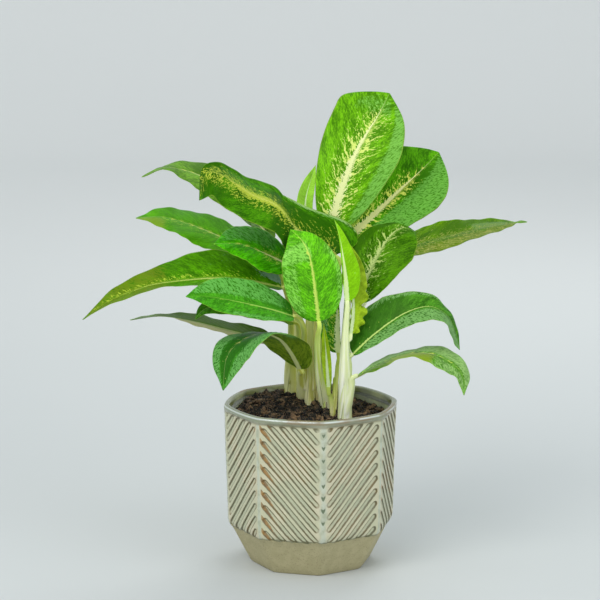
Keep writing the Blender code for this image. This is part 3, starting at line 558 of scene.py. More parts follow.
def leaf_material(name, look):
    """Green mottled along the side veins, with a ragged cream midrib, feathered flecks and silvery parts; on
    three blades some zones are painted sheen, shade and glow.
    """
    s = Shader(name, IOR=1.45, Specular_IOR_Level=look["shine"], Specular_Tint=GLOSS_TINT)
    vein = s.stored("vein", "Vector")
    t, across, edge = s.split(s.stored("zone", "Vector"))
    silver, fleck, dark = s.split(s.stored("patches", "Vector"))
    streak = s.stretched(vein, 0.25, 0.56, detail=4.0)
    fine = s.stretched(vein, 0.7, 1.2)
    specks = s.stretched(vein, 0.48, 0.8, 1.7)
    patch = s.stretched(vein, 0.07, 0.11, detail=3.0)
    feather = streak * 0.5 + fine * 0.5
    tone = patch * 0.35 + feather * 0.65
    ragged = (feather - 0.5) * 2.2

    def zone(amount, low, high):
        return s.step(amount + ragged, low, high) * ZONE_STRENGTH

    layers = [(zone(s.stored("warm"), 0.25, 0.65), "olive"), (zone(dark, 0.3, 0.6), "deep"),
              (zone(silver, 0.3, 0.55), "silver"),
              (s.step(specks, 0.53, 0.57) * (s.step(silver, 0.1, 0.5) * look["dots"]), "deep")]

    def marked(colour, deep):
        for share, kind in layers:
            colour = s.mix(share, colour, deep if kind == "deep" else look[kind])
        return colour

    green = s.mix(s.step(tone, 0.4, 0.6), look["deep"], look["mid"])
    green = s.mix(s.step(specks, 0.58, 0.62) * 0.45, green, look["deep"])
    green = marked(green, look["deep"])
    # cream flecks thin out away from the midrib and towards the tip
    thin = across / look["fleck_reach"] + t * look["fleck_fade"]
    level = feather + fleck * 0.15 - thin * 0.1
    flecks = s.step(level, look["fleck_level"], look["fleck_level"] + 0.02)
    green = s.mix(flecks * look["top_flecks"], green, look["fleck"])
    # cream branches leave the midrib along some of the side veins
    along_vein, side_seed = s.split(vein)[1:]
    wander = s.stretched(vein, 0.15, 0.1) * 1.6
    phase = s.calc("FRACT", along_vein / look["branch_step"] + wander)
    line = s.calc("ABSOLUTE", phase - 0.5)
    row = s.node("CombineXYZ", {1: along_vein * 0.14, 2: side_seed})
    long = s.step(s.noise(row, 1.0, 1.0), 0.34, 0.55, 0.1, 1.0)
    reach = long * look["branch_reach"] * s.step(t, 1.0, 0.6)
    left = reach - across
    taper = s.step(left, 0.0, look["branch_reach"], 0.0, 0.2)
    thick = taper * s.step(feather, 0.38, 0.6, 0.4, 1.5)
    branch = s.step(thick - line, -0.02, 0.03) * s.step(left, 0.0, 0.8)
    green = s.mix(branch, green, look["fleck"])
    # the midrib and the margin, then the underside
    uneven = s.step(feather, 0.38, 0.62, 1.0 - look["ragged"], 1.0 + look["ragged"])
    width = s.step(t, 0.0, look["rib_reach"], look["rib_width"], 0.0) * uneven
    green = s.mix(s.step(width - across, -0.25, 0.35), green, look["rib"])
    green = s.mix(s.step(edge, 0.965, 0.99) * 0.5, green, look["margin"])
    back = s.mix(s.step(tone, 0.42, 0.62), look["under_deep"], look["under_mid"])
    back = marked(back, look["under_deep"])
    keel = s.step(s.step(t, 0.0, 1.0, 2.4, 0.4) - across, -0.4, 0.4)
    back = s.mix(flecks * look["under_flecks"], back, look["fleck"])
    back = s.mix(keel * look["keel"], back, look["rib"])
    s.paint(Base_Color=s.mix(s.stored("under"), green, back))
    s.paint(Roughness=streak * 0.22 + look["gloss"])
    s.bump(feather + fine * 0.6, 0.25, 0.0004)
    return s.material


def greens(main, under=None, depth=(0.38, 0.5, 0.4), lift=1.42, **more):
    """Deep, middle and underside greens around one main colour."""
    low = under or tuple(0.75 * c + 0.02 * k for c, k in zip(main, (1, 1, 0)))
    made = dict(deep=tuple(c * k for c, k in zip(main, depth)), mid=tuple(lift * c for c in main),
                under_deep=tuple(c * k for c, k in zip(low, (0.45, 0.6, 0.5))),
                under_mid=tuple(1.25 * c for c in low))
    return dict(made, **more)


def young_greens(main, **more):
    """The even lime of a young leaf."""
    return greens(main, depth=(0.78, 0.78, 0.78), lift=1.12, quilt=0.0, **more)


COMMON_LOOK = dict(
    slot="leaf_green", ridge=1.0, quilt=0.22, roll=0.0, ruffle=(0.0, 1.0), notches=(),
    silver=(0.21, 0.5, 0.16), dots=0.9, fleck=(0.58, 0.68, 0.1),
    fleck_reach=11.0, fleck_fade=0.3, fleck_level=0.6, rib=(0.76, 0.8, 0.36), rib_width=1.8, rib_reach=0.9,
    gloss=0.24, shine=0.11, olive=(0.2, 0.34, 0.02), margin=(0.4, 0.6, 0.06), zones=(),
    branch_step=8.0, branch_reach=2.5, ragged=0.4, keel=0.7, top_flecks=0.9, under_flecks=0.0)
YOUNG_LOOK = dict(
    COMMON_LOOK, slot="young_leaf_lime", fleck_level=0.9, rib=(0.72, 0.85, 0.5), rib_width=1.4, gloss=0.28,
    silver=(0.5, 0.78, 0.3), branch_reach=0.1, ragged=0.1)

LOOKS = {
    "leaf_crown_tall": greens(
        (0.135, 0.39, 0.005), rib_width=4.0, rib_reach=0.98, fleck_reach=14.0, rib=(0.78, 0.82, 0.38),
        ragged=0.6, fleck=(0.66, 0.78, 0.18), silver=(0.2, 0.5, 0.08), dots=0.7, branch_reach=19.0,
        branch_step=10.0,
        zones=[("fleck", 0.0, 0.85, -0.7, 0.6, 0.8), ("silver", 0.1, 0.9, 0.65, 1.1, 0.8),
               ("silver", 0.8, 0.96, -0.6, 0.5, 0.42)]),
    "leaf_crown_right": greens(
        (0.088, 0.33, 0.004), rib_width=3.0, rib_reach=0.95, silver=(0.15, 0.42, 0.06),
        rib=(0.96, 0.94, 0.4), fleck=(0.8, 0.86, 0.14), branch_reach=10.0,
        zones=[("silver", 0.12, 0.95, 0.3, 1.1, 1.0), ("dark", 0.55, 0.85, 0.02, 0.4, 1.0),
               ("fleck", 0.0, 0.7, -0.4, 0.3, 0.8), ("silver", 0.3, 0.8, -1.1, -0.75, 0.5)]),
    "leaf_crown_left": greens(
        (0.054, 0.21, 0.002), rib_width=1.3, rib_reach=1.0, fleck=(0.44, 0.52, 0.05), roll=(0.0, 1.6),
        rib=(0.52, 0.58, 0.11), silver=(0.3, 0.5, 0.16), dots=0.0, shine=0.05, ragged=1.3,
        branch_reach=7.0, branch_step=6.0, fleck_reach=24.0, fleck_fade=0.0,
        # the first zone is painted sheen on the rolled upper edge
        zones=[("silver", 0.08, 0.34, 0.9, 1.1, 0.8), ("fleck", 0.3, 0.9, -0.5, 0.5, 0.7),
               ("fleck", 0.32, 0.7, -0.14, 0.12, 1.7), ("dark", 0.0, 0.45, -1.1, 0.7, 0.9),
               ("dark", 0.72, 1.0, -1.1, 1.1, 0.5), ("fleck", 0.0, 0.5, -1.1, 0.9, 0.42),
               ("fleck", 0.6, 0.95, -0.5, 0.9, 0.5)]),
    "leaf_far_left": greens(
        (0.12, 0.27, 0.02), rib_width=1.2, silver=(0.22, 0.4, 0.12),
        zones=[("silver", 0.0, 0.3, -1.1, -0.3, 1.0), ("dark", 0.3, 0.7, 0.0, 1.1, 0.6)]),
    "leaf_left_upper": greens(
        (0.09, 0.36, 0.003), depth=(0.66, 0.74, 0.6), lift=1.2, rib_width=0.45, quilt=0.12,
        silver=(0.22, 0.48, 0.1), dots=0.6, branch_reach=3.0,
        zones=[("fleck", 0.3, 0.8, -0.85, -0.05, 0.6), ("warm", 0.75, 1.0, -1.1, -0.2, 0.9)]),
    "leaf_left_dark": greens(
        (0.07, 0.42, 0.002), rib_width=1.3, rib_reach=0.6, rib=(0.8, 0.84, 0.36),
        silver=(0.12, 0.38, 0.08),
        zones=[("fleck", 0.0, 0.4, -0.5, 0.4, 0.7), ("silver", 0.2, 0.9, 0.2, 1.1, 0.5)]),
    "leaf_left_long": greens(
        (0.082, 0.29, 0.002), depth=(0.48, 0.56, 0.5), lift=1.35, rib_width=1.5, rib=(0.46, 0.6, 0.12),
        olive=(0.14, 0.21, 0.008), silver=(0.3, 0.45, 0.36), fleck=(0.44, 0.6, 0.05), dots=0.2,
        branch_reach=1.5,
        zones=[("dark", 0.1, 0.62, 0.4, 1.1, 0.22), ("fleck", 0.12, 0.75, -0.05, 0.3, 0.6),
               ("silver", 0.0, 0.1, 0.3, 1.1, 1.0), ("warm", 0.55, 1.0, -1.1, 1.1, 0.6),
               ("fleck", 0.7, 0.97, -0.3, 0.5, 0.6)]),
    "leaf_left_silver": greens(
        (0.06, 0.31, 0.01), rib_width=0.8, silver=(0.14, 0.46, 0.08), dots=1.0, rib=(0.4, 0.66, 0.12),
        branch_reach=0.1, depth=(0.5, 0.6, 0.5),
        zones=[("silver", 0.1, 0.92, 0.25, 1.1, 0.8), ("silver", 0.25, 0.65, -1.1, -0.7, 0.7),
               ("dark", 0.0, 0.35, 0.1, 1.1, 0.6)]),
    "leaf_left_under": greens(
        (0.05, 0.2, 0.006), rib_width=1.2,
        zones=[("warm", 0.0, 0.22, -1.1, 1.1, 1.0)]),
    "leaf_left_low": greens(
        (0.08, 0.22, 0.008), under=(0.14, 0.25, 0.02), rib_width=1.2, silver=(0.2, 0.32, 0.14), dots=0.5,
        keel=0.4, olive=(0.5, 0.48, 0.16),
        # the dark zone on the near half is painted shade; the warm zone on the far half is painted glow of
        # light shining through the blade
        zones=[("dark", 0.0, 0.8, -1.1, -0.1, 0.8), ("warm", 0.0, 0.8, 0.1, 1.1, 1.0),
               ("silver", 0.84, 1.0, -1.1, 1.1, 1.0)]),
    "leaf_front_drooping": greens(
        (0.05, 0.25, 0.015), under=(0.13, 0.23, 0.01), olive=(0.22, 0.32, 0.02), keel=0.8,
        under_flecks=0.7, fleck=(0.5, 0.56, 0.14), rib_width=1.0, rib_reach=0.6,
        silver=(0.15, 0.42, 0.1),
        zones=[("silver", 0.35, 0.97, 0.45, 1.1, 1.0), ("silver", 0.35, 0.97, -1.1, -0.5, 1.0),
               ("dark", 0.4, 0.95, -0.4, 0.35, 0.9), ("warm", 0.0, 0.3, -1.1, 1.1, 0.5)]),
    "leaf_front_oval": greens(
        (0.115, 0.47, 0.004), rib_width=1.4, rib_reach=1.1, gloss=0.14, shine=0.35,
        silver=(0.26, 0.66, 0.09), rib=(0.55, 0.75, 0.12), dots=0.8,
        # the first zone, at the upper left, is a painted highlight; the other two are silvery markings
        zones=[("silver", 0.62, 0.8, -1.1, 0.1, 1.0), ("silver", 0.08, 0.6, -1.1, -0.5, 0.5),
               ("silver", 0.1, 0.7, 0.8, 1.1, 0.5)]),
    "leaf_right_dark": greens(
        (0.068, 0.21, 0.003), rib_width=2.0, rib_reach=1.1, fleck=(0.4, 0.54, 0.13),
        rib=(0.48, 0.6, 0.2), shine=0.05, branch_reach=11.0, branch_step=7.0, ragged=1.0,
        zones=[("fleck", 0.0, 0.95, -0.7, 0.7, 0.6), ("dark", 0.0, 1.0, -1.1, -0.6, 0.6)]),
    "leaf_right_long": greens(
        (0.1, 0.26, 0.008), under=(0.19, 0.42, 0.002), rib_width=1.0, silver=(0.26, 0.48, 0.12), dots=0.1,
        keel=0.0, ridge=0.25, olive=(0.28, 0.4, 0.01), top_flecks=0.35, under_flecks=0.9,
        fleck=(0.64, 0.66, 0.14), fleck_reach=60.0, fleck_fade=0.0,
        zones=[("silver", 0.6, 0.86, -0.1, 0.5, 0.9), ("warm", 0.1, 0.9, -1.1, -0.3, 0.6),
               ("fleck", 0.0, 0.95, -1.1, 0.3, 0.45), ("fleck", 0.0, 0.9, -0.9, -0.4, 0.75),
               ("dark", 0.3, 0.6, 0.0, 0.8, 0.5)]),
    "leaf_right_arching": greens(
        (0.065, 0.23, 0.014), rib_width=0.9, silver=(0.2, 0.43, 0.12), branch_reach=0.1,
        rib=(0.55, 0.72, 0.2),
        zones=[("silver", 0.15, 0.8, -1.1, -0.8, 0.6), ("dark", 0.0, 0.5, -0.9, 0.1, 0.5),
               ("silver", 0.1, 1.0, 0.2, 1.1, 1.0)]),
    "leaf_right_low": greens(
        (0.13, 0.36, 0.02), rib_width=0.7, silver=(0.32, 0.54, 0.17), olive=(0.26, 0.36, 0.02), dots=0.6,
        zones=[("dark", 0.0, 0.3, 0.0, 1.1, 0.6), ("warm", 0.0, 0.6, 0.1, 1.1, 0.9),
               ("silver", 0.05, 0.95, -1.1, -0.1, 0.8), ("silver", 0.6, 1.0, 0.2, 1.1, 0.5)]),
    "leaf_inner_dark": greens(
        (0.07, 0.32, 0.012), rib_width=3.0, rib=(0.7, 0.78, 0.42),
        zones=[("fleck", 0.0, 1.0, -1.1, 1.1, 0.8), ("silver", 0.3, 0.9, -1.1, -0.5, 0.7)]),
    "leaf_young_back": young_greens((0.36, 0.72, 0.06)),
    "leaf_young_folded": young_greens(
        (0.23, 0.57, 0.006), rib_width=1.9, rib_reach=0.85, rib=(0.66, 0.8, 0.36)),
    "leaf_young_frill": young_greens(
        (0.34, 0.52, 0.02), ruffle=(2.2, 0.9), notches=[(0.31, 0.5, 0.03), (0.18, 0.25, 0.03),
            (0.45, 0.16, 0.03), (0.08, 0.3, 0.03)]),
    "leaf_sheath": young_greens((0.38, 0.58, 0.02)),
}


def soil_height(x, y):
    """Height of the CAD soil's surface, heaped behind the stems."""
    mound = math.exp(-((x - MOUND_PLACE[0]) ** 2 + (y - MOUND_PLACE[1]) ** 2) / (2.0 * MOUND_SPREAD ** 2))
    lumps = SOIL_LUMPS * noise.noise(Vector((x * 0.11, y * 0.11, 3.7)))
    lumps += 0.5 * SOIL_LUMPS * noise.noise(Vector((x * 0.27, y * 0.27, 9.1)))
    return SOIL_LEVEL + SOIL_TILT * (y - x) + MOUND_HEIGHT * mound + lumps


def stalk_tube(path, radii, facing_end, sides, groove, seed, wing=0.0):
    """Points of a channelled stalk: its groove faces the blade's upper side, wings widen its sheath."""
    count = len(path)
    forward = unit(np.gradient(path, axis=0))
    ups = np.zeros((count, 3))
    up = np.array(facing_end, float)
    for i in reversed(range(count)):
        up = up - forward[i] * (up @ forward[i])
        up = up / max(np.linalg.norm(up), 1e-9)
        ups[i] = up
    sides_way = np.cross(forward, ups)
    angle = np.arange(sides) / sides * math.tau
    off = np.minimum(angle, math.tau - angle)
    share = np.linspace(0.0, 1.0, count)[:, None]
    shape = 1.0 - groove * np.exp(-(off / 0.5) ** 2)[None]
    shape = shape + 0.4 * groove * np.exp(-((off - 0.9) / 0.3) ** 2)[None]
    shape = shape + 0.025 * np.sin(5.0 * angle[None] + seed + 2.0 * share)
    radius = radii[:, None] * shape
    ring = path[:, None] + ups[:, None] * (radius * np.cos(angle)[None])[..., None]
    broad = radius * (1.0 + np.broadcast_to(wing, count))[:, None]
    ring = ring + sides_way[:, None] * (broad * np.sin(angle)[None])[..., None]
    look = np.stack(np.broadcast_arrays(share, angle[None] / math.tau, np.full(radius.shape, seed)), -1)
    return ring, look


def make_shoot(name, shoot, finish, seed):
    """The cane in its sheaths and the stalks of its leaves, as one piece."""
    x, y = shoot["foot"]
    ground = soil_height(x, y)
    radius = shoot["radius"]
    points = []
    looks = []
    faces = []
    trunk = smooth_path([(x, y, ground - ROOT_DEPTH), (x, y, ground + 2.5)] + shoot["trunk"], TRUNK_POINTS)
    share = np.linspace(0.0, 1.0, TRUNK_POINTS)
    radii = radius * (1.04 - 0.28 * share) * (1.0 + 0.02 * np.sin(9.0 * share + seed))
    radii[-4:] *= np.array([0.97, 0.9, 0.75, 0.45])
    tubes = [stalk_tube(trunk, radii, (0.0, -1.0, 0.0), TRUNK_SIDES, 0.0, seed)]
    for number, leaf in enumerate(LEAVES.values()):
        if leaf["shoot"] != name:
            continue
        spot, _, _, up, _ = blade_frames(leaf, np.array([0.0, 0.01]))
        end = spot[0]
        way = unit(np.subtract(leaf["rib"][1], leaf["rib"][0]))
        starts = trunk[trunk[:, 2] < leaf["stalk"][0][2] - STALK_RISE]
        start = starts[len(starts) // 3]
        path = smooth_path([start] + leaf["stalk"] + [end - way * 5.0, end + way * 0.3], STALK_POINTS)
        along = np.linspace(0.0, 1.0, STALK_POINTS)
        thick = min(radius * 0.85, STALK_RADIUS * 1.2)
        radii = thick + (STALK_TIP_RADIUS * 1.05 - thick) * along ** 1.7
        wing = 0.45 * smoothstep(0.6, 0.1, along)
        ring, look = stalk_tube(path, radii, up[0], STALK_SIDES, STALK_GROOVE, seed + number, wing)
        look[..., 0] = 0.25 + 0.75 * look[..., 0]
        tubes.append((ring, look))
    for ring, look in tubes:
        add_tube(points, faces, ring)
        looks.append(look.reshape(-1, 3))
    attributes = {"stalk": np.vstack(looks)}
    piece = make_piece("stems_" + name[6:], np.vstack(points), faces, finish, attributes)
    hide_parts(name)


def stem_material(name, pale, green, olive):
    """Waxy pale stalk with long olive patches of painted shade and seams where sheaths end, greener near the
    blade.
    """
    s = Shader(name, IOR=1.42, Specular_IOR_Level=0.2, Subsurface_Weight=0.15, Subsurface_Scale=0.002,
               Subsurface_Radius=(1.0, 0.9, 0.3))
    stalk = s.stored("stalk", "Vector")
    along, turn = s.split(stalk)[:2]
    lines = s.stretched(stalk, 1.6, 26.0, detail=3.0)
    broad = s.stretched(stalk, 1.3, 4.2, 1.3)
    colour = s.mix(s.step(along, 0.15, 1.0), pale, green)
    # broad olive patches: painted shade
    colour = s.mix(s.step(broad, 0.5, 0.59) * 0.8, colour, olive)
    colour = s.mix(s.step(lines, 0.5, 0.66) * 0.28, colour, olive)
    # a sheath edge: a pale line with a shaded one beside it
    edge = s.calc("ABSOLUTE", turn - s.step(along, 0.0, 1.0, 0.86, 1.0))
    colour = s.mix(s.step(edge, 0.035, 0.012) * 0.8, colour, pale)
    gap = s.calc("ABSOLUTE", turn - s.step(along, 0.0, 1.0, 0.9, 1.04))
    colour = s.mix(s.step(gap, 0.018, 0.006) * 0.6, colour, tuple(0.35 * c for c in olive))
    apart = s.node("VectorMath", {0: s.place(), 1: SCAR_PLACE}, "Value", operation="DISTANCE")
    ragged = apart + s.noise(s.place(), 700.0, 2.0) * 0.0012
    colour = s.mix(s.step(ragged, SCAR_SIZE + 0.0007, SCAR_SIZE + 0.0003), colour, (0.07, 0.05, 0.015))
    s.paint(Base_Color=colour, Roughness=lines * 0.2 + 0.28)
    s.bump(lines + s.noise(s.place(), 900.0, 2.0) * 0.3, 0.25, 0.0005)
    return s.material


# Pale, green and olive colour of each shoot; the olive paints shade in broad patches and tints fine streaks
STEM_COLOURS = {
    "shoot_back": ((0.93, 0.93, 0.46), (0.6, 0.68, 0.1), (0.5, 0.52, 0.05)),
    "shoot_left": ((0.95, 0.94, 0.5), (0.74, 0.8, 0.24), (0.6, 0.6, 0.08)),
    "shoot_middle": ((0.94, 0.9, 0.52), (0.66, 0.72, 0.18), (0.56, 0.54, 0.1)),
    "shoot_tall": ((0.95, 0.88, 0.58), (0.68, 0.76, 0.22), (0.6, 0.57, 0.14)),
    "shoot_front": ((0.95, 0.97, 0.64), (0.66, 0.84, 0.18), (0.64, 0.78, 0.12)),
    "shoot_small": ((0.84, 0.8, 0.4), (0.52, 0.66, 0.12), (0.52, 0.54, 0.09)),
    "shoot_right": ((0.95, 0.96, 0.8), (0.8, 0.88, 0.48), (0.72, 0.8, 0.38)),
}


def outer_radius(z):
    """Radius of the pot's corners at a height."""
    return np.interp(z, WALL_HEIGHTS, WALL_RADII)


def around_radius(circumradius, share, roundness=0.0):
    """Distance from the axis at a share of one side: an octagon with rounded corners, eased to a circle."""
    angle = (share - 0.5) * math.tau / POT_SIDES
    corner = circumradius * CORNER_CUT
    flat = circumradius * math.cos(math.pi / POT_SIDES) / np.cos(angle)
    soft = -np.log(np.exp(-CORNER_SHARPNESS * (flat - corner)) + 1.0) / CORNER_SHARPNESS + corner
    return soft + roundness * (corner - soft)


def make_pot(finish):
    """The glazed pot: rows of points follow the slanting channels, so each groove has clean edges."""
    mirrored = [1.0 - stop for stop in SIDE_STOPS[:0:-1]]
    shares = np.array(SIDE_STOPS + list(np.linspace(0.15, 0.85, 19)) + mirrored)
    around = len(shares) * POT_SIDES
    sides = np.repeat(np.arange(POT_SIDES), len(shares))
    share = np.tile(shares, POT_SIDES)
    from_middle = (share - 0.5) * math.tau / POT_SIDES
    angle = POT_TURN + (sides + share) * math.tau / POT_SIDES
    rows = np.stack([np.cos(angle), np.sin(angle)], 1)
    # the channels rise to the right on one side and to the left on the next
    way = np.where(sides % 2 == 0, 1.0, -1.0) * (share - 0.5) * 2.0
    tall = math.hypot(1.0, CHANNEL_SLOPE)
    half_side = math.sin(math.pi / POT_SIDES)
    low = RELIEF_BOTTOM - 1.0
    high = RELIEF_TOP + 0.5
    width = 2.0 * SHOULDER_RADIUS * half_side * 1.05
    first = math.floor((low - SHOULDER_HEIGHT - CHANNEL_SLOPE * width) / CHANNEL_PERIOD) - 1
    last = math.ceil((high - SHOULDER_HEIGHT) / CHANNEL_PERIOD) + 1
    centres = CHANNEL_PHASE + np.arange(first, last)[:, None] * CHANNEL_PERIOD
    starts = (centres + np.array(CHANNEL_STOPS) * tall).reshape(-1, 1)
    # each point's height depends on the pot's width there, so it is found in three rounds
    z = np.full((len(starts), around), 80.0)
    for _ in range(3):
        edge = outer_radius(z) * half_side
        run = way * edge + SHOULDER_RADIUS * half_side
        z = np.clip(SHOULDER_HEIGHT + starts + CHANNEL_SLOPE * run, low, high)
    # distance to the edge of the nearest channel, a capsule cut off near the lip and the foot
    level = z - SHOULDER_HEIGHT - CHANNEL_SLOPE * run - CHANNEL_PHASE
    offset = (level - CHANNEL_PERIOD * np.round(level / CHANNEL_PERIOD)) / tall
    run_here = way * edge + edge
    to_end = 2.0 * edge - run_here
    inset = RIDGE_MARGIN + 0.5 * CHANNEL_WIDTH
    before = (inset - run_here) * tall - offset * CHANNEL_SLOPE
    beyond = np.maximum(before, (inset - to_end) * tall + offset * CHANNEL_SLOPE)
    distance = np.hypot(offset, np.maximum(beyond, 0.0)) - 0.5 * CHANNEL_WIDTH
    limit = np.clip(np.maximum(z - RELIEF_TOP + 0.2, RELIEF_BOTTOM + 1.0 - z), -12.0, 12.0)
    distance = np.log(np.exp(RIM_EASING * distance) + np.exp(RIM_EASING * limit)) / RIM_EASING
    depth = CHANNEL_DEPTH * smoothstep(0.25, -0.55, distance)
    pit = np.exp(-((run_here / 1.7) ** 2 + ((offset * tall) / 1.6) ** 2))
    pit = np.where((z > PIT_LOWEST) & (z < PIT_HIGHEST), pit, 0.0)
    wobble = 0.12 * np.sin(3.0 * angle + 0.05 * z) + 0.08 * np.sin(7.0 * angle - 0.09 * z)
    radius = around_radius(outer_radius(z), share) - depth / np.cos(from_middle) - PIT_DEPTH * pit + wobble
    # rust gathers in a wedge at the upper end of each channel
    top_end = to_end - RIDGE_MARGIN
    taper = smoothstep(-2.0, 10.0, top_end)
    comet = smoothstep(0.5, -0.4, np.abs(offset + 0.4 + 1.1 * taper) - 1.5 * (1.0 - taper))
    comet = comet * smoothstep(-1.9, -0.9, top_end)
    pool = np.maximum(comet, 0.3 * smoothstep(0.1, -0.9, distance))
    blob = RUST[sides] * smoothstep(13.0, 4.0, top_end) * pool
    ridge = np.minimum(run_here, 1.9 * to_end)

    def ring(circumradius, height, roundness=0.0):
        reach = around_radius(circumradius, share, roundness)
        return np.concatenate([rows * reach[:, None], np.full((around, 1), height)], 1)

    foot = [ring(FOOT_RADIUS, 0.0)] + [ring(outer_radius(height), height) for height in FOOT_HEIGHTS]
    wall_rows = np.concatenate([rows * radius[..., None], z[..., None]], -1)
    lip = [ring(RIM_RADIUS - aside, POT_HEIGHT - drop, roundness) for aside, drop, roundness in LIP]
    inner_wall = [
        ring(SHOULDER_RADIUS - WALL - LIP_STEP, SHOULDER_HEIGHT + 4.0),
        ring(BAND_TOP_RADIUS - WALL, BAND_TOP),
        ring(BASE_RADIUS - WALL + 1.0, FLOOR_THICKNESS)]
    rings = np.concatenate([foot, wall_rows, lip, inner_wall])
    count = len(rings)
    points = np.vstack([rings.reshape(-1, 3), [[0.0, 0.0, 0.0], [0.0, 0.0, FLOOR_THICKNESS]]])
    faces = ring_faces(count, around)
    bottom = len(points) - 2
    top = (count - 1) * around
    faces += [[(i + 1) % around, i, bottom] for i in range(around)]
    faces += [[top + i, top + (i + 1) % around, bottom + 1] for i in range(around)]

    def whole(values, rest, ends=(0.0, 0.0)):
        """A value for every point: the relief's own, a rest value elsewhere, and two for the end points."""
        full = np.full((count, around), rest)
        full[len(foot):len(foot) + len(wall_rows)] = values
        return np.append(full.ravel(), ends)

    inside = np.zeros((count, around))
    inside[len(foot) + len(wall_rows) + LIP_OUTSIDE:] = 1.0
    near = whole(np.clip(distance, -3.0, 5.0), 5.0, (5.0, 5.0))
    attributes = {
        "groove": np.stack([near, whole(ridge, 0.0, (9.0, 9.0)), whole(blob, 0.0)], 1),
        "pit": whole(pit, 0.0),
        "inside": np.append(inside.ravel(), (0.0, 1.0)),
    }
    piece = make_piece("pot_glazed", points, faces, finish, attributes)
    work = bmesh.new()
    work.from_mesh(piece.data)
    bmesh.ops.remove_doubles(work, verts=work.verts, dist=0.00002)
    bmesh.ops.dissolve_degenerate(work, edges=work.edges, dist=0.00001)
    bmesh.ops.recalc_face_normals(work, faces=work.faces)
    work.to_mesh(piece.data)
    work.free()
    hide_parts("pot")


def glaze_material():
    """Grey-green glaze over tan clay: dark lines at channel edges, partly dark glaze and partly painted
    shadow, rusty pools, a bare speckled foot.
    """
    s = Shader("glazed_stoneware_look", IOR=1.5)
    place = s.place()
    z = s.split(place)[2]
    distance, ridge, blob = s.split(s.stored("groove", "Vector"))
    pit = s.stored("pit")
    inside = s.stored("inside")
    cloud = s.noise(place, 45.0, 4.0)
    grain = s.noise(place, 420.0)
    speck = s.noise(place, 900.0, 2.0)
    rib = s.mix(s.step(cloud, 0.4, 0.62), (0.53, 0.53, 0.36), (0.6, 0.56, 0.4))
    floor = s.mix(s.step(cloud, 0.42, 0.6), (0.49, 0.51, 0.35), (0.56, 0.55, 0.38))
    colour = s.mix(s.step(distance, -0.1, -0.7), rib, floor)
    # dark lines along the channel edges: dark glaze there and painted shadow of the channel walls
    wide = distance + (grain - 0.5) * 0.7
    line = s.step(s.calc("ABSOLUTE", wide), 0.95, 0.25) * s.step(cloud, 0.3, 0.55, 0.75, 1.0)
    line = line * s.step(ridge + cloud * 3.0, 4.0, 8.0, 0.25, 1.0)
    colour = s.mix(line, colour, s.mix(s.step(cloud, 0.45, 0.6), (0.105, 0.1, 0.045), (0.15, 0.115, 0.04)))
    feathered = ridge + (s.noise(place, 130.0) - 0.5) * 5.0
    pool = s.step(feathered, 3.9, 0.6) * s.step(distance, -1.2, 0.5, 0.3, 1.0)
    pale = s.mix(s.step(s.noise(place, 170.0), 0.42, 0.62), (0.5, 0.55, 0.45), (0.38, 0.42, 0.31))
    colour = s.mix(pool * 0.85, colour, pale)
    rust = s.step(blob + (cloud - 0.5) * 0.8, 0.22, 0.62)
    brown = s.mix(s.step(s.noise(place, 260.0, 2.0), 0.42, 0.6), (0.33, 0.165, 0.03), (0.18, 0.09, 0.018))
    colour = s.mix(rust * 0.8, colour, brown)
    # thick glaze in the dents at the corners
    dent = pit + (cloud - 0.5) * 1.2
    colour = s.mix(s.step(dent, 0.3, 0.7), colour, (0.14, 0.18, 0.11))
    # the lip, by height in metres: a dark line under it, brown glaze with painted shadow, a greyer face, a
    # brown blush and a pale edge
    brim = s.band(z, 0.123, 0.1246, 0.1256, 0.1272)
    colour = s.mix(brim * 0.55, colour, (0.16, 0.13, 0.06))
    colour = s.mix(s.step(z, 0.1252, 0.1272) * 0.85, colour, (0.23, 0.26, 0.17))
    blush = s.step(z, 0.1256, 0.1278) * s.step(s.noise(place, 34.0), 0.44, 0.62)
    colour = s.mix(blush * 0.7, colour, (0.25, 0.165, 0.085))
    # the pale broken edge line: thin glaze there and a painted highlight
    edge = s.band(z, 0.1279, 0.1287, 0.1291, 0.1297)
    edge = edge * s.step(s.noise(place, 60.0), 0.36, 0.52, 0.2, 0.85)
    colour = s.mix(edge, colour, (0.62, 0.68, 0.64))
    # the inner side, darkest in the step above the soil, where a painted shadow line lies
    within = s.mix(s.step(cloud, 0.4, 0.62), (0.17, 0.19, 0.07), (0.31, 0.33, 0.14))
    step_shadow = s.band(z, 0.1232, 0.1246, 0.1254, 0.1268)
    within = s.mix(step_shadow * 0.8, within, (0.035, 0.04, 0.02))
    colour = s.mix(inside, colour, within)
    colour = s.mix(s.step(speck, 0.66, 0.72) * 0.35, colour, (0.22, 0.19, 0.11))
    # the bare foot and the glaze's dark border above it
    clay = s.mix(s.step(s.noise(place, 160.0, 4.0), 0.4, 0.65), (0.4, 0.36, 0.2), (0.44, 0.395, 0.225))
    clay = s.mix(s.step(speck, 0.58, 0.66) * 0.45, clay, (0.2, 0.165, 0.09))
    border = (s.noise(place, 140.0, 2.0) - 0.5) * 0.005 + z
    glazed = s.step(border, 0.0305, 0.0312)
    seam = s.band(border, 0.03, 0.0308, 0.0314, 0.0326)
    colour = s.mix(seam * 0.75, colour, (0.12, 0.12, 0.05))
    colour = s.mix(glazed, clay, colour)
    s.paint(Base_Color=colour)
    rough = cloud * 0.2 + s.step(z, 0.12, 0.127, 0.24, 0.05)
    s.paint(Roughness=s.node("Mix", {0: glazed, 2: 0.8, 3: rough}, data_type="FLOAT"))
    s.bump(grain * 0.5 + speck, 0.2, 0.0003)
    return s.material


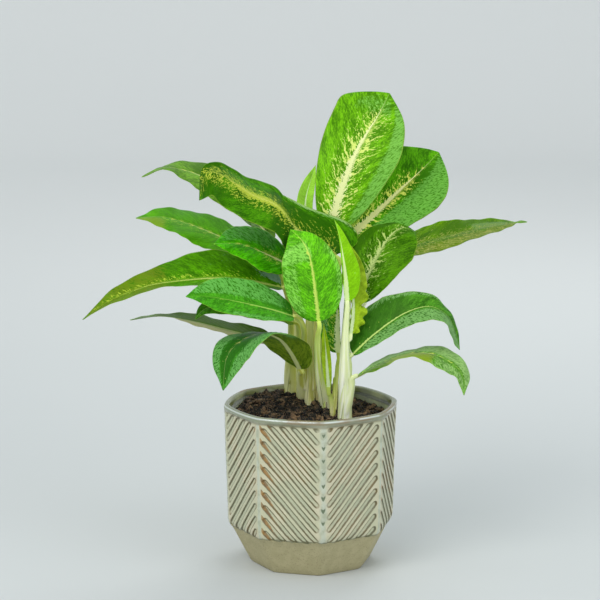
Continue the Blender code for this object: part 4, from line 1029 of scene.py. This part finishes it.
def soil_material():
    """Near-black damp peat with drier, browner patches and pale grains."""
    s = Shader("peat_look")
    place = s.place()
    lump = s.noise(place, 160.0, 4.0)
    grain = s.noise(place, 900.0)
    drier = s.step(s.noise(place, 55.0), 0.46, 0.62)
    colour = s.mix(s.step(lump, 0.49, 0.62), (0.002, 0.002, 0.001), (0.072, 0.046, 0.026))
    dusty = drier * s.step(lump, 0.48, 0.6) * 0.9
    colour = s.mix(dusty, colour, (0.24, 0.145, 0.07))
    colour = s.mix(s.step(grain, 0.58, 0.66) * 0.9, colour, (0.32, 0.21, 0.12))
    s.paint(Base_Color=colour, Roughness=s.step(grain, 0.3, 0.7, 0.7, 1.0))
    s.bump(lump + grain, 0.8, 0.001)
    return s.material


def fibre_material():
    """Brown root fibres, darker and lighter by turns."""
    s = Shader("peat_fibre_look", Roughness=0.8)
    s.paint(Base_Color=s.mix(s.noise(s.place(), 300.0, 2.0), (0.06, 0.03, 0.018), (0.24, 0.14, 0.08)))
    return s.material


def inner_reach(angle, inset):
    """How far the pot's inner wall lies from the axis at an angle, just above the soil."""
    share = ((angle - POT_TURN) / (math.tau / POT_SIDES)) % 1.0
    apothem = (RIM_RADIUS - WALL - LIP_STEP - inset) * math.cos(math.pi / POT_SIDES)
    return apothem / np.cos((share - 0.5) * math.tau / POT_SIDES)


def rough_height(x, y):
    """Height of the visible soil: the CAD surface with crumbs and dents on it."""
    here = Vector((x, y, 0.0))
    lumps = 1.5 * noise.noise(here * 0.22 + Vector((5.0, 1.0, 2.0)))
    lumps += 1.1 * abs(noise.noise(here * 0.5 + Vector((1.0, 7.0, 4.0))))
    lumps += 0.6 * noise.noise(here * 1.1 + Vector((3.0, 2.0, 8.0)))
    return soil_height(x, y) + lumps


def make_soil(finish):
    """The rough visible surface on a plain plug that reaches down into the pot."""
    around = SOIL_AROUND
    angle = np.arange(around) / around * math.tau
    way = np.stack([np.cos(angle), np.sin(angle)], 1) * inner_reach(angle, 0.35)[:, None]
    rows = way * (np.arange(1, SOIL_RINGS + 1) / SOIL_RINGS)[:, None, None]
    heights = [[rough_height(x, y) for x, y in row] for row in rows]
    top = np.concatenate([rows, np.array(heights)[..., None]], -1)
    wall = top[-1:] * (0.985, 0.985, 0.0) + (0.0, 0.0, PLUG_TOP)
    sole = wall * (0.7, 0.7, 0.0) + (0.0, 0.0, PLUG_FOOT)
    grid = np.concatenate([top, wall, sole])
    points = np.vstack([grid.reshape(-1, 3), [[0.0, 0.0, rough_height(0.0, 0.0)], [0.0, 0.0, PLUG_FOOT]]])
    middle = len(points) - 2
    last = middle - around
    faces = [face[::-1] for face in ring_faces(len(grid), around)]
    faces += [[i, (i + 1) % around, middle] for i in range(around)]
    faces += [[last + (i + 1) % around, last + i, middle + 1] for i in range(around)]
    piece = make_piece("soil_surface", points, faces, finish)
    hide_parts("soil")


def ball(detail):
    """Unit ball points and triangles, from an icosahedron split detail times."""
    work = bmesh.new()
    bmesh.ops.create_icosphere(work, subdivisions=detail, radius=1.0)
    points = np.array([v.co[:] for v in work.verts])
    faces = [[v.index for v in f.verts] for f in work.faces]
    work.free()
    return points, faces


def make_crumbs(finish):
    """Crumbs of peat strewn on the soil, larger ones fewer, each a dented ball half sunk in."""
    shape, triangles = ball(1)
    points = []
    faces = []
    for _ in range(CRUMBS):
        angle = rng.uniform(0.0, math.tau)
        part = math.sqrt(rng.uniform(0.0, 1.0))
        size = CRUMB_SMALLEST + CRUMB_RANGE * rng.uniform(0.0, 1.0) ** 5
        reach = float(inner_reach(angle, 1.5)) - size
        x, y = part * reach * math.cos(angle), part * reach * math.sin(angle)
        if any(math.hypot(x - shoot["foot"][0], y - shoot["foot"][1]) < shoot["radius"] + 0.4 * size
               for shoot in SHOOTS.values()):
            continue
        stretch = rng.uniform(0.6, 1.3, 3)
        dents = 1.0 + 0.45 * rng.uniform(-1.0, 1.0, len(shape))
        body = shape * stretch * dents[:, None] * size
        body = body + np.array([x, y, rough_height(x, y) + 0.25 * size])
        first = sum(len(p) for p in points)
        points.append(body)
        faces += [[first + i for i in face] for face in triangles]
    make_piece("soil_crumbs", np.vstack(points), faces, finish, smooth=False)


def add_strand(points, faces, route, count, radius):
    """A thin round strand through the points of a route."""
    path = smooth_path(route, count)
    ring, _ = stalk_tube(path, np.full(count, radius), (0.0, 0.0, 1.0), FIBRE_SIDES, 0.0, 0.0)
    add_tube(points, faces, ring)


def make_fibres(finish):
    """Short bent root fibres lying on the soil, and one longer root thread over them."""
    points = []
    faces = []
    for _ in range(FIBRES):
        angle = rng.uniform(0.0, math.tau)
        part = math.sqrt(rng.uniform(0.0, 1.0)) * 0.93
        reach = float(inner_reach(angle, 2.5))
        x, y = part * reach * math.cos(angle), part * reach * math.sin(angle)
        way = rng.uniform(0.0, math.tau)
        long = rng.uniform(2.5, 9.0)
        bend = rng.uniform(-0.9, 0.9)
        route = []
        for i in range(9):
            turn = way + bend * i / 8
            px = x + long * (i / 8 - 0.5) * math.cos(turn)
            py = y + long * (i / 8 - 0.5) * math.sin(turn)
            limit = float(inner_reach(math.atan2(py, px), 1.0))
            shrink = min(1.0, limit / max(math.hypot(px, py), 1e-6))
            px, py = px * shrink, py * shrink
            rise = 0.35 + 0.8 * math.sin(math.pi * i / 8) * rng.uniform(0.2, 1.0)
            route.append((px, py, rough_height(px, py) + rise))
        add_strand(points, faces, route, FIBRE_POINTS, rng.uniform(0.12, 0.26))
    add_strand(points, faces, ROOT_THREAD, THREAD_POINTS, THREAD_RADIUS)
    make_piece("soil_fibres", np.vstack(points), faces, finish)


def make_stage():
    """A plain pale floor that sweeps up into a backdrop."""
    s = Shader("pale_stage", Roughness=0.7)
    place = s.place()
    near = s.mix(s.noise(place, 2.0, 2.0), (0.545, 0.575, 0.575), (0.565, 0.59, 0.59))
    s.paint(Base_Color=s.mix(s.step(s.split(place)[1], 0.2, 2.6), near, (0.86, 0.87, 0.86)))
    profile = [(-STAGE_BACK - SWEEP, 0.0), (STAGE_BACK, 0.0)]
    for turn in np.linspace(0.1, math.pi / 2, 16):
        profile.append((STAGE_BACK + SWEEP * math.sin(turn), SWEEP - SWEEP * math.cos(turn)))
    profile.append((STAGE_BACK + SWEEP, STAGE_SIZE))
    points = [(x, y, z) for y, z in profile for x in (-STAGE_SIZE, STAGE_SIZE)]
    faces = [[2 * i, 2 * i + 1, 2 * i + 3, 2 * i + 2] for i in range(len(profile) - 1)]
    floor = make_object("floor_sweep", points, faces, s.material)


def make_light(name, place, size, power, colour, glossy):
    """A round area light that points at the plant."""
    data = bpy.data.lights.new(name, "AREA")
    data.shape = "DISK"
    data.size = size
    data.energy = power
    data.color = colour
    lamp = bpy.data.objects.new(name, data)
    lamp.location = place
    lamp.rotation_euler = (Vector(LIGHT_AIM) - Vector(place)).to_track_quat("-Z", "Y").to_euler()
    lamp.visible_glossy = glossy
    bpy.context.scene.collection.objects.link(lamp)


def make_studio():
    """World light, lamps, and the camera that was fitted to the photo."""
    world = bpy.data.worlds.new("studio")
    world.use_nodes = True
    sky = world.node_tree.nodes["Background"]
    sky.inputs["Color"].default_value = WORLD_COLOUR
    sky.inputs["Strength"].default_value = WORLD_STRENGTH
    bpy.context.scene.world = world
    for name, values in LIGHTS.items():
        make_light(name, *values)
    camera_data = bpy.data.cameras.new("camera")
    camera_data.sensor_width = SENSOR
    camera_data.lens = FOCAL_PIXELS * SENSOR / IMAGE_PIXELS
    camera = bpy.data.objects.new("camera", camera_data)
    camera.location = Vector(CAMERA_PLACE) * MM
    camera.rotation_euler = (math.radians(90.0 - CAMERA_PITCH), 0.0, 0.0)
    bpy.context.scene.collection.objects.link(camera)
    bpy.context.scene.camera = camera
    bpy.context.scene.view_settings.view_transform = "Standard"


def main():
    make_pot(glaze_material())
    peat = soil_material()
    make_soil(peat)
    make_crumbs(peat)
    make_fibres(fibre_material())
    for number, (name, shoot) in enumerate(SHOOTS.items()):
        make_shoot(name, shoot, stem_material(name + "_look", *STEM_COLOURS[name]), 3.0 + 2.0 * number)
    for number, (name, leaf) in enumerate(LEAVES.items()):
        young = "young" in name or "sheath" in name
        look = dict(YOUNG_LOOK if young else COMMON_LOOK, **LOOKS[name])
        make_blade(name, leaf, look, leaf_material(name + "_look", look), 1.0 + number)
    make_stage()
    make_studio()


main()
